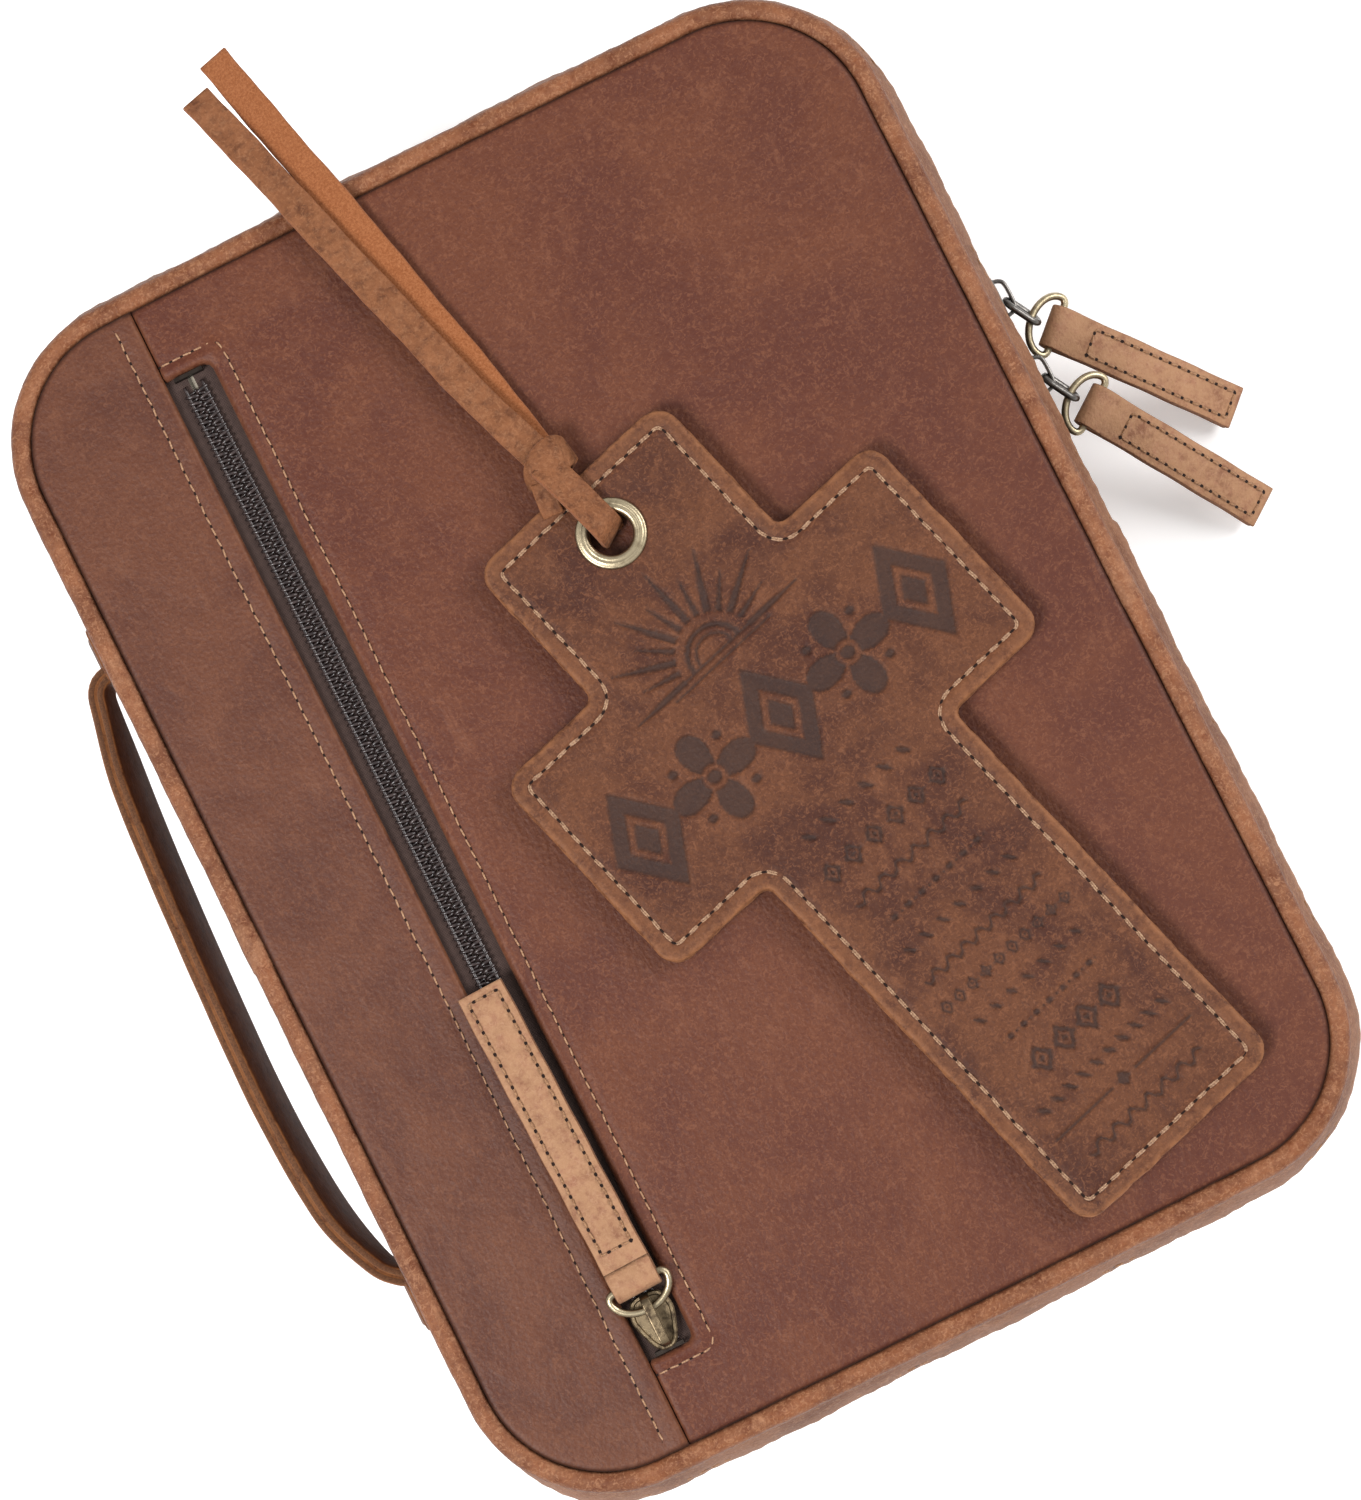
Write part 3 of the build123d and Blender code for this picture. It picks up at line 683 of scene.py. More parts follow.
# ---- the cover's outline ----
def bowed(xy):
    """The short sides of the cover bow outward a little."""
    xy = np.array(xy, float)
    x, y = xy[..., 0], xy[..., 1]
    xy[..., 1] = y + END_BOW * np.clip(y / PY, -1, 1) ** 3 * (1 - np.clip(x / PX, -1, 1) ** 2)
    return xy


def outline(inset, step):
    """Closed outline, anticlockwise from the middle of the right side, drawn in from the piping centre."""
    flat_x, flat_y, r = PX - CORNER, PY - CORNER, CORNER - inset
    quarters = ((flat_x, flat_y, 0), (-flat_x, flat_y, 90), (-flat_x, -flat_y, 180), (flat_x, -flat_y, 270))
    pts = [(PX - inset, 0.0)]
    for cx, cy, start in quarters:
        pts += arc(cx, cy, r, start, start + 90, 40)
    pts.append((PX - inset, 0.0))
    return resample(pts, step)[0][:-1]


def open_run(step):
    """The outline at the piping centre, clockwise from the spine's upper end round to its lower end."""
    loop = outline(0, step)[::-1]
    straight = (loop[:, 0] < -PX + 0.3) & (np.abs(loop[:, 1]) < PY - CORNER - 2.5)
    start = int(np.argmax(np.where(straight, loop[:, 1], -1e9)))
    loop, keep = np.roll(loop, -start, 0), ~np.roll(straight, -start)
    keep[0] = True
    return loop[keep]


def with_z(xy, z):
    return np.column_stack([xy, np.full(len(xy), float(z)) if np.isscalar(z) else z])


def make_piping(side, z):
    """Leather-covered cord with fine slanting wrinkles and a lapped joint."""
    step, around = 0.75, 22
    path = with_z(bowed(outline(0, step)), z)
    n = len(path)
    along = np.arange(n) * step
    angle = np.linspace(0, 2 * math.pi, around + 1)[:-1]
    x, y = path[:, 0], path[:, 1]
    lap = smooth_step(y, -17.4, -16.6) * smooth_step(-y, -2, 14) * (x > 0)
    lap += smooth_step(y, -4.8, -4.0) * smooth_step(-y, -12, 2) * (x < 0)
    radius = PIPE_R * (0.97 + 0.02 * np.sin(along * 0.21) + 0.015 * np.sin(along * 0.53 + 1)) + 0.22 * lap
    s = along[:, None]
    phase = s * 2.6 + 1.2 * np.sin(s * 0.17) + angle * 1.5
    wrinkle = np.sin(phase) * (0.4 + 0.6 * np.sin(s * 0.11 + angle) ** 2) + np.sin(s * 1.13 - angle * 2)
    r = radius[:, None] + 0.022 * wrinkle
    sections = np.stack([np.cos(angle) * r, np.sin(angle) * r], 2)
    verts, faces = sweep(path, UP, sections, closed_path=True)
    if side == "back":
        verts[:, 2] = np.clip(verts[:, 2], 0, 2 * PIPE_R)
    obj = mesh_object(side + "_piping_cover", verts, faces, piping_leather)
    # Worn tone: a little everywhere and more on the lapped joint, plus a painted highlight along the upper
    # side of the cord from the sin term.
    point_value(obj, "edge", np.repeat(0.10 + 0.25 * lap, around) + 0.10 * np.tile(np.sin(angle), n))
    # Painted shade: the crease value darkens the cord's inner side, in the groove next to the panel, and more
    # lightly its outer flank.
    hollow = smooth_step(-np.cos(angle), 0.62, 0.92) + 0.5 * smooth_step(np.cos(angle), 0.8, 1.0)
    point_value(obj, "crease", np.tile(hollow, n))
    finish(obj, side + "_shell", "piping_leather", side + "_piping")


def panel(name, loop, top_of, bottom, material, body, replaced, rows, spacing=2.2, down=False):
    """Leather panel whose visible side is given by a height function of xy and edge distance."""
    xy, tris = flat_mesh(loop, [], spacing, rows)
    edge = distance_to(xy, loop)
    levels = [top_of(xy, edge), np.full(len(xy), float(bottom))]
    if down:
        levels.reverse()
    obj = mesh_object(name, *thick_sheet(xy, tris, *levels), material)
    # Painted shade: the crease value darkens the panel within about 1 mm of its outer edge, in the groove
    # along the piping; the worn tone is kept off that band.
    crease = np.clip(1 - distance_to(xy, bowed(outline(PANEL_INSET, 3.0))) / 0.95, 0, 1)
    worn = np.clip(1 - edge / 1.4, 0, 1) * 0.5 * (crease == 0)
    point_value(obj, "edge", np.tile(worn, 2))
    point_value(obj, "crease", np.tile(crease, 2))
    finish(obj, body, "panel_leather", replaced)


def roll(edge, radius):
    """How far a rolled edge drops below the flat at a distance from it."""
    d = np.clip(radius - edge, 0, radius)
    return radius - np.sqrt(np.maximum(radius**2 - d**2, 0))


make_piping("back", PIPE_R)
make_piping("front", TOP - PIPE_R)


def bump_at(d, centre, half):
    """Smooth hump of height 1 at a distance, with the given half width."""
    return np.exp(-(((d - centre) / half) ** 2))


def main_top(xy, edge):
    x, y = xy[:, 0], xy[:, 1]
    z = TOP - roll(edge, 1.3) + 0.16 * ripple(x, y, 60, 3) * smooth_step(edge, 0, 12)
    z += 0.05 * ripple(x, y, 14, 4)
    right = x - slot_x
    beside = (y < slot_top + 4) & (y > slot_low - 4)
    ends = smooth_step(y, slot_low - 4, slot_low) * smooth_step(-y, -slot_top - 4, -slot_top)
    z += ends * (0.5 * bump_at(right, 1.5, 1.2) - 0.3 * bump_at(right, 3.9, 0.6)) * beside
    for line, outward in ((slot_top, 1), (slot_low, -1)):
        beyond = (y - line) * outward
        reach = smooth_step(-x, -slot_x - 3.9, -slot_x - 2.9)
        z += reach * (0.4 * bump_at(beyond, 1.4, 1.1) - 0.25 * bump_at(beyond, 3.3, 0.6))
    return z


def main_loop():
    """Main panel outline with the pocket slot cut into its left side, corners of the slot rounded."""
    loop = bowed(outline(PANEL_INSET, 1.5))
    run = [p for p in loop if p[0] > strip_x + 0.2]
    run = sorted(run, key=lambda p: math.atan2(p[1], p[0] + 40) % (2 * math.pi))
    start = max(range(len(run)), key=lambda i: math.dist(run[i], run[i - 1]))
    run = run[start:] + run[:start]
    if run[0][1] > 0:
        run = run[::-1]
    top_y, low_y = run[-1][1], run[0][1]
    seam_x, r = strip_x + 0.05, 1.6
    slot = [(seam_x, top_y), (seam_x, slot_top)]
    slot += arc(slot_x - r, slot_top - r, r, 90, 0, 5)
    slot += arc(slot_x - r, slot_low + r, r, 0, -90, 5)
    slot += [(seam_x, slot_low), (seam_x, low_y)]
    return np.vstack([np.array(run), resample(slot, 1.2)[0]])


panel("main_panel_leather", main_loop(), main_top, TOP - LEATHER_T, panel_leather, "front_shell",
      "front_main_panel", rows=(0.35, 0.8, 1.4, 2.0, 2.7, 3.3, 3.9, 4.6))


def strip_top(xy, edge):
    x, y = xy[:, 0], xy[:, 1]
    fold = strip_x - x
    z = TOP + 0.15 + 0.45 * smooth_step(-fold, -9, 0) - roll(edge, 1.1)
    z += 0.10 * ripple(x, y, 30, 11) * smooth_step(edge, 0, 5) + 0.05 * ripple(x * 2.5, y, 12, 12)
    z -= 0.28 * bump_at(fold, 4.4, 0.7)
    return z


def strip_loop():
    """Outline of the strip beside the spine, up to its folded edge."""
    loop = bowed(outline(PANEL_INSET, 1.5))
    run = [p for p in loop if p[0] < strip_x - 0.2]
    run = sorted(run, key=lambda p: math.atan2(p[1], -(p[0] + 55)))
    ends = resample([(strip_x, run[-1][1]), (strip_x, run[0][1])], 1.2)[0]
    return np.vstack([np.array(run), ends])[::-1]


panel("strip_panel_leather", strip_loop(), strip_top, TOP - LEATHER_T, strip_leather, "front_shell",
      "front_strip_panel", rows=(0.3, 0.7, 1.2, 1.9, 2.8, 3.6, 4.4, 5.2))


def back_top(xy, edge):
    return roll(edge, 1.3) + 0.04 * (1 + ripple(xy[:, 0], xy[:, 1], 16, 21))


panel("back_panel_leather", bowed(outline(PANEL_INSET, 1.5)), back_top, LEATHER_T, panel_leather,
      "back_shell", "back_panel", rows=(0.3, 0.7, 1.2, 1.9, 2.8), spacing=3.0, down=True)


# ---- swept leather, cloth and metal ----
def joint(name):
    found = next(j for j in frame["joints"] if j["name"] == name)
    return np.array(found["pos_m"]) / M, unit(np.array(found["axis"], float))


def strip(name, path, ups, sections, face_material, edge_material, closed_path=False, worn=0.35):
    """Swept leather strip: cut sides get their own material and its long edges are worn."""
    verts, faces = sweep(path, ups, sections, closed_path=closed_path)
    obj = mesh_object(name, verts, faces, [face_material, edge_material])
    profile = sections[len(sections) // 2]
    m, n = len(profile), len(path)
    reach = np.abs(profile[:, 0])
    limit = reach.max() - 0.22
    side = [min(reach[j], reach[(j + 1) % m]) > limit for j in range(m)]
    rows = n if closed_path else n - 1
    index = np.tile(np.array(side, int), rows)
    index = np.concatenate([index, np.ones(len(faces) - len(index), int)])
    obj.data.polygons.foreach_set("material_index", index)
    point_value(obj, "edge", np.tile(np.clip((reach - reach.max() + 1.1) / 1.1, 0, 1) * worn * 2, n))
    return obj


def tube(path, radius, sides=10, closed=False, ups=UP):
    return sweep(path, ups, circle(sides) * radius, closed_path=closed)


def helix(path, outward, turn_up, pitch, half_up, half_out, wire, phase=0.0, steps=8):
    """Coil whose turns run along a path; outward and turn_up give the two directions of each turn."""
    along = distance_along(path)
    turns = int(along[-1] / pitch)
    a = np.arange(turns * steps + 1) / steps
    place, out, up = (at_distance(values, along, a * pitch) for values in (path, outward, turn_up))
    angle = (a * 2 * math.pi + phase)[:, None]
    lift = np.sign(np.cos(angle)) * np.abs(np.cos(angle)) ** 0.8
    centre = place + up * lift * half_up + out * np.sin(angle) * half_out
    return tube(centre, wire, 6, ups=unit(np.gradient(place, axis=0)))


# ---- gusset walls, main zip ----
run3, run_s = resample(with_z(bowed(open_run(1.0)), 0), 1.0)
run_out = unit(np.cross(UP, tangents(run3)))
ease = smooth_step(run_s, 0, 34) * smooth_step(run_s[-1] - run_s, 0, 34)
GUSSET_T = 1.7
FOOT_Z, HEM_Z = wall_low[2] - 0.6, wall_high[2]
FOOT_U = 1.5            # outward reach of the wall at its foot
HEM_U = wall_high[0] - PX
END_U = 2.7             # where the zip runs in under the spine leather
SEAM_T = 0.84           # share of the wall's height where its seam runs


def wall_u(t):
    """Outward reach of the wall along the run, at a share t of its height."""
    top = END_U + (HEM_U - END_U) * ease
    rise = 0.86 * t + 0.14 * np.sin(t * math.pi / 2)
    return FOOT_U + (top - FOOT_U) * rise + 0.12 * np.sin(t * math.pi) * ease


def wall_z(t):
    return FOOT_Z + (HEM_Z - FOOT_Z) * t


def gusset_sections(front):
    """Sections of the wall: outer side, rolled hem, inner side; it swells where its two ends overlap."""
    x, y = run3[:, 0], run3[:, 1]
    wobble = 0.22 * np.sin(run_s * 0.13 + 1) + 0.12 * np.sin(run_s * 0.41 + 2)
    overlap = 0.5 * (x > 0) * smooth_step(-y, -0.9, -0.5) * smooth_step(y, -9, 0.7)
    rows = []
    for t in np.linspace(0, 1, 10):
        crease = 0.10 * np.sin(run_s * 1.7 + t * 5) * np.sin(run_s * 0.23) + wobble * t
        groove = -0.28 * np.exp(-(((t - SEAM_T) / 0.05) ** 2))
        rows.append((wall_u(t) + crease + overlap + groove, wall_z(t)))
    top_u, hem = rows[-1][0], GUSSET_T / 2
    for a in np.linspace(0.25, 1, 5) * math.pi:
        rows.append((top_u - hem + hem * math.cos(a), HEM_Z + hem * 0.9 * math.sin(a)))
    for t in (0.6, 0.2, 0.0):
        rows.append((wall_u(t) - GUSSET_T + wobble * t, wall_z(t)))
    u = np.stack([row[0] for row in rows], 1)
    z = np.broadcast_to([row[1] for row in rows], u.shape)
    return np.stack([-u, TOP - z if front else z], 2)


def gusset(side, front):
    obj = mesh_object(side + "_gusset_wall", *sweep(run3, UP, gusset_sections(front)), gusset_leather)
    worn = np.array([0.35, 0.2, 0.1, 0, 0, 0, 0.05, 0.1, 0.2, 0.5, 0.9, 1, 1, 0.6, 0.3, 0, 0, 0])
    point_value(obj, "edge", np.tile(worn, len(run3)) * 0.7)
    finish(obj, side + "_shell", "panel_leather", side + "_gusset")
    z = wall_z(SEAM_T)
    line = run3 + run_out * (wall_u(SEAM_T) - 0.42)[:, None]
    line[:, 2] = TOP - z if front else z
    normal = unit(run_out + UP * (0.28 if front else -0.28))
    sewn = slice(6, -6)
    stitch_row(side + "_gusset_stitches", line[sewn], normal[sewn], side + "_shell", "panel_leather",
               tan_thread, pitch=3.0, lift=0.04)


def main_zip(side, front):
    """Half of the main zip: its tape and its row of coil turns round a core."""
    body = side + "_shell"
    shift = HEM_U - 3.2 - (HEM_U - END_U) * (1 - ease)
    low, high = HEM_Z - 1.2, MID - 0.55
    z = np.array([low, low, high - 0.3, high, high - 0.3, low + 1])
    u = shift[:, None] + [0.0, 0.65, 0.65, 0.33, 0.0, 0.0]
    sections = np.stack([-u, np.broadcast_to(TOP - z if front else z, u.shape)], 2)
    tape = mesh_object(side + "_zip_tape_cloth", *sweep(run3, UP, sections), tape_cloth)
    finish(tape, body, "zip_tape", side + "_zip_tape")
    keep = slice(16, len(run3) - 16)
    sign = 1 if front else -1
    centre = run3 + run_out * (shift + 1.25)[:, None]
    centre[:, 2] = MID + sign * 1.45
    centre, out = centre[keep], run_out[keep]
    ups = np.broadcast_to(UP * sign, out.shape)
    coil = helix(centre, out, ups, 1.5, 1.45, 0.62, 0.36, phase=math.pi * front)
    cord = centre + out * 0.05
    cord[:, 2] = MID + sign * 2.2
    core = tube(cord[::2], 0.5, 8)
    turns = mesh_object(side + "_zip_coil_turns", *joined([coil, core]), coil_nylon)
    finish(turns, body, "zip_coil", side + "_zip_coil")


for side_name, front in (("back", False), ("front", True)):
    gusset(side_name, front)
    main_zip(side_name, front)


# ---- spine ----
def spine_leather():
    low, high = span("spine_panel")
    half = high[1] + 1.6
    z0, z1 = low[2] - 1.4, high[2] + 1.4
    y = np.linspace(-half, half, 150)
    z = np.linspace(z0, z1, 28)
    t = (z - z0) / (z1 - z0)
    gy, gz = np.meshgrid(y, z, indexing="ij")
    swell = np.sin(t * math.pi)[None]
    fold = 0.175 * np.sin(gz * 0.9 + 2 * np.sin(gy * 0.03)) * swell
    outer = low[0] - 0.2 - 1.6 * swell - fold - 0.15 * ripple(gy, gz, 26, 31) * swell
    outer = outer + 1.0 * (1 - smooth_step(np.minimum(t, 1 - t), 0, 0.07))[None]
    inner = np.full_like(outer, high[0])
    xy = np.stack([outer, gy, gz], 2).reshape(-1, 3)
    back = np.stack([inner, gy, gz], 2).reshape(-1, 3)
    ny, nz = gy.shape
    count = ny * nz
    faces = []
    for i in range(ny - 1):
        for j in range(nz - 1):
            a, b = i * nz + j, (i + 1) * nz + j
            faces.append((a, a + 1, b + 1, b))
            faces.append((a + count, b + count, b + 1 + count, a + 1 + count))
    rim = [i * nz for i in range(ny)] + [(ny - 1) * nz + j for j in range(1, nz)]
    rim += [i * nz + nz - 1 for i in range(ny - 2, -1, -1)] + list(range(nz - 2, 0, -1))
    for a, b in zip(rim, rim[1:] + rim[:1]):
        faces.append((a, b, b + count, a + count))
    obj = mesh_object("spine_leather", np.vstack([xy, back]), faces, gusset_leather)
    worn = 0.5 * (1 - smooth_step(np.minimum(t, 1 - t), 0, 0.1))
    point_value(obj, "edge", np.tile(worn, ny * 2))
    finish(obj, "spine", "panel_leather", "spine_panel")


spine_leather()


# ---- handle ----
def handle():
    """Strap of two sewn layers, bowed out from the spine and leaning a little."""
    low, high = span("handle_outer_strap")
    axis_x = joint("handle_swing")[0][0]
    (_, low_y, _), (_, top_y, _) = span("handle_inner_strap")
    peak = low[0] + 1.95
    height, end_width = high[2] - low[2], 9.5
    knots = [
        (-PX - 1.9, top_y + 1.5), (axis_x - 0.6, top_y - 0.6), (peak + 4.5, top_y - 8),
        (peak + 2.1, top_y - 34), (peak + 0.2, -10.0), (peak, -34.0),
        (peak + 1.6, low_y + 20), (axis_x - 2.0, low_y + 7),
        (axis_x + 1.4, low_y + 2.2), (-PX - 1.9, low_y + 0.4),
    ]
    path = smooth_curve([(x, y, MID) for x, y in knots], 1.0)
    y = path[:, 1]
    middle = smooth_step(y, low_y - 4, low_y + 22) * smooth_step(-y, -top_y - 4, -top_y + 24)
    widths = end_width + (height - end_width) * middle + 0.15 * np.sin(y * 0.4)
    sections = np.array([rounded_profile(w, 3.7, 0.75, groove=0.55) for w in widths])
    sections[:, :, 1] += 0.55 * middle[:, None] * (np.abs(sections[:, :, 0]) / (height / 2)) ** 2
    lean = math.radians(5)
    across = np.array([math.sin(lean), 0, -math.cos(lean)])
    ups = unit(np.cross(across, tangents(path)))
    obj = strip("handle_strap", path, ups, sections, handle_leather, waxed_edge, worn=0.6)
    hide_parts("handle_outer_strap", "handle_inner_strap")
    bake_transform(obj)


handle()


# ---- zip sliders, loops, rings ----
def plate(shape, origin, ax, ay, az, thick, rim=0.7, sink=0.3):
    """Flat plate with a raised rim, from an outline in its own plane."""
    pts = resample(np.vstack([shape, shape[:1]]), 0.45)[0][:-1]
    if np.sum(pts[:, 0] * np.roll(pts[:, 1], -1) - pts[:, 1] * np.roll(pts[:, 0], -1)) < 0:
        pts = pts[::-1]
    inward = inward_of(pts)
    bevel = 0.3
    levels = [(0.35, 0.0), (0.0, bevel), (0.0, thick - bevel), (bevel, thick), (rim, thick),
              (rim + 0.25, thick - sink)]
    verts = np.vstack([with_z(pts + inward * d, h) for d, h in levels])
    n, top = len(pts), len(levels) - 1
    faces = [tuple(range(n - 1, -1, -1)), tuple(range(top * n, (top + 1) * n))]
    faces += ring_faces(n, top + 1)
    world = origin + verts[:, :1] * ax + verts[:, 1:2] * ay + verts[:, 2:3] * az
    return world, faces


def smooth_loop(points, rounds=2):
    pts = np.asarray(points, float)
    for _ in range(rounds):
        nxt = np.roll(pts, -1, 0)
        pts = np.stack([0.78 * pts + 0.22 * nxt, 0.22 * pts + 0.78 * nxt], 1).reshape(-1, 2)
    return pts


def bridge(start, end, height, origin, along, up, width, thick):
    """Raised arch of flat bar on a slider."""
    shoulder = height * 0.72
    pts = [(start, 0), (start + 0.5, shoulder), (start + 1.5, height), ((start + end) / 2, height + 0.15),
           (end - 1.5, height), (end - 0.5, shoulder), (end, 0)]
    local = smooth_curve([(a, b, 0) for a, b in pts], 0.3)
    path = origin + local[:, :1] * along + local[:, 1:2] * up
    normals = unit(np.cross(np.cross(along, up), tangents(path)))
    return sweep(path, normals, rounded_profile(width, thick, 0.3))


def cuboid(centre, half):
    signs = [(x, y, z) for z in (-1, 1) for x, y in ((-1, -1), (1, -1), (1, 1), (-1, 1))]
    return np.array(centre) + np.array(signs) * half, [(3, 2, 1, 0), (4, 5, 6, 7)] + ring_faces(4, 2)


def wire_loop(name, pts, origin, along, across, radius, material, body, slot, node):
    """Closed ring of wire bent to an outline in its own plane."""
    local = resample(pts + pts[:1], 0.4)[0][:-1]
    path = origin + local[:, :1] * along + local[:, 1:2] * across
    ring = tube(path, radius, 14, closed=True, ups=np.cross(along, across))
    finish(mesh_object(name, *ring, material), body, slot, node)


def ring_wire(name):
    """D ring: straight bar through the pull, bow through the slider's loop."""
    bow = joint(name + "_ring_tilt")[0]
    bar, axis = joint(name + "_pull_tilt")
    aim, side = unit(bar - bow), -axis
    depth = float(np.linalg.norm(bar - bow))
    half, bend = 5.2, 1.3
    pts = [(0.0, y) for y in np.linspace(-half, half, 12)]
    pts += arc(-bend, half, bend, 17.19, 90, 5)
    for a in np.linspace(0.08, math.pi - 0.08, 30):
        pts.append((-bend - (depth - bend) * math.sin(a), (half + bend) * math.cos(a)))
    pts += arc(-bend, -half, bend, -90, -17.19, 5)
    wire_loop(name + "_d_ring", pts, bar, aim, side, 0.8, brass, name + "_ring_body", "antique_brass",
              name + "_ring")
    return bar, side


def leather_pull(name, bar, aim, side, length, width, wave):
    """Strip of leather folded round the ring's bar, its two layers sewn together."""
    body = name + "_pull_body"
    normal = unit(np.cross(aim, side))
    ply, bore = 1.5, 0.86
    r = bore + ply / 2
    local = [(length, -0.8), (length * 0.5, -0.8), (6.0, -0.82), (3.6, -1.15), (1.7, -1.5)]
    local += arc(0, 0, r, -75, -285, 12)
    local += [(1.7, 1.5), (3.6, 1.15), (6.0, 0.82), (length * 0.5, 0.8), (length, 0.8)]
    local = smooth_curve([(a, b, 0) for a, b in local], 0.7)
    sag = wave * np.sin(np.clip(local[:, 0], 0, None) / length * math.pi)
    path = bar + local[:, :1] * aim + (local[:, 1:2] + sag[:, None]) * normal
    ups = unit(np.cross(side, tangents(path)))
    widths = width * (1 + 0.012 * np.sin(local[:, 0] * 0.45))
    sections = np.array([rounded_profile(w, ply, 0.35) for w in widths])
    obj = strip(name + "_pull_leather", path, ups, sections, pull_leather, cut_edge, worn=0.5)
    finish(obj, body, "pull_leather", name + "_pull")
    inset = 1.7
    x0, x1, y1 = 8.0, length - inset, width / 2 - inset
    line = resample([(x0, -y1), (x1, -y1), (x1, y1), (x0, y1), (x0, -y1)], 0.6)[0]
    lift = wave * np.sin(line[:, 0] / length * math.pi)
    for label, sign in (("top", 1), ("under", -1)):
        points = bar + line[:, :1] * aim + line[:, 1:2] * side + (lift + sign * 1.55)[:, None] * normal
        stitch_row(f"{name}_pull_stitches_{label}", points, sign * normal, body, "pull_leather", tan_thread,
                   thread=0.25)


def main_slider(name):
    """Slider of the main zip with its oval loop, D ring and hanging pull."""
    low, high = span(name + "_slider_body")
    y0 = (low[1] + high[1]) / 2
    face = high[0] - 4.1
    half = [(-5.2, -2.4), (-1.0, -4.6), (3.4, -4.4), (5.2, -2.6)]
    shape = smooth_loop(half + [(x, -y) for x, y in half[::-1]])
    parts = [
        plate(shape, (face, y0, MID), Y, UP, X, 1.2),
        plate(shape, (low[0] + 1.0, y0, MID), Y, -UP, -X, 1.0),
        cuboid(((low[0] + face) / 2 + 0.5, y0, MID), ((face - low[0]) / 2, 2.0, 0.42)),
        bridge(-4.0, 4.0, 2.5, (face + 1.0, y0, MID), Y, X, 1.7, 0.8),
    ]
    metal_parts = mesh_object(name + "_slider_metal", *joined(parts), gunmetal, smooth=False)
    finish(metal_parts, name + "_slider", "gunmetal", name + "_slider_body")
    pin, across = joint(name + "_loop_turn")
    along = unit(joint(name + "_ring_tilt")[0] - pin)
    bend, reach = 2.2, 8.2
    oval = arc(bend, 0, bend, 90, 270, 12) + arc(reach - bend, 0, bend, -90, 90, 12)
    wire_loop(name + "_oval_loop", oval, pin, along, across, 0.75, gunmetal, name + "_loop", "gunmetal",
              name + "_slider_loop")
    bar, side = ring_wire(name)
    drop = math.radians(25)
    aim = unit(np.array([side[1], -side[0], 0])) * math.cos(drop) - UP * math.sin(drop)
    leather_pull(name, bar, aim, side, 46.0, 9.2, 0.5)


main_slider("upper")
main_slider("lower")


def pocket_zip():
    """Coil halves, slider, ring and pull of the pocket zip."""
    z = TOP - LEATHER_T + 0.85
    for label, sign in (("left", -1), ("right", 1)):
        line = np.arange(slot_low + 1.6, slot_top - 1.6, 1.0)
        path = np.array([(chain_x + sign * 1.25, y, z) for y in line])
        out, turn = np.broadcast_to(UP, path.shape), np.broadcast_to(-X * sign, path.shape)
        coil = helix(path, out, turn, 1.48, 1.28, 0.5, 0.36, phase=math.pi * (sign > 0), steps=10)
        core = tube(path + (0.75 * sign, 0, -0.1), 0.42, 8)
        turns = mesh_object(f"pocket_coil_turns_{label}", *joined([coil, core]), coil_nylon)
        finish(turns, "front_shell", "zip_coil", "pocket_coil_" + label)
    low, high = span("pocket_slider_body")
    yc = (low[1] + high[1]) / 2
    top = TOP - 0.25
    half = [(2.2, -6.2), (4.7, 0.8), (4.4, 3.2), (3.0, 6.0)]
    shape = smooth_loop([(-2.2, -6.2)] + half + [(-x, y) for x, y in half[:0:-1]])
    parts = [
        plate(shape, (chain_x, yc, top), X, Y, UP, 1.0, rim=0.8, sink=0.4),
        cuboid((chain_x, yc + 1.5, TOP - 1.2), (0.45, 2.5, 1.2)),
        bridge(-5.2, 5.6, 3.1, (chain_x, yc, top + 0.9), Y, UP, 2.0, 0.85),
    ]
    slider = mesh_object("pocket_slider_metal", *joined(parts), dark_brass, smooth=False)
    finish(slider, "pocket_slider", "antique_brass", "pocket_slider_body")
    bar, side = ring_wire("pocket")
    leather_pull("pocket", bar, unit(np.array([side[1], -side[0], 0])), side, 67.0, 10.0, 0.25)


pocket_zip()


# ---- stitching on the front ----
def along_surface(points, top_of, loop):
    xy = np.asarray(points, float)
    return with_z(xy, top_of(xy, distance_to(xy, loop)))


def front_stitches():
    """Seams round the pocket slot and along the strip's folded edge."""
    loop = main_loop()
    corner = 2.2
    x1, y1, y0 = slot_x + 3.6, slot_top + 3.3, slot_low - 3.2
    pts = [(strip_x + 0.6, y1), (x1 - corner, y1)]
    pts += arc(x1 - corner, y1 - corner, corner, 72.81, 0, 4)
    pts.append((x1, y0 + corner))
    pts += arc(x1 - corner, y0 + corner, corner, -17.19, -90, 4)
    pts.append((strip_x + 0.6, y0))
    slot_line = along_surface(resample(pts, 1.0)[0], main_top, loop)
    loop = strip_loop()
    fold_y = loop[np.abs(loop[:, 0] - strip_x) < 0.01, 1]
    fold = [(strip_x - 4.4, y) for y in np.arange(fold_y.min() + 3, fold_y.max() - 2, 1.0)]
    strip_line = along_surface(fold, strip_top, loop)
    for name, line in (("slot_stitches", slot_line), ("strip_stitches", strip_line)):
        stitch_row(name, line, UP, "front_shell", "panel_leather", seam_thread, cover=0.76)


front_stitches()


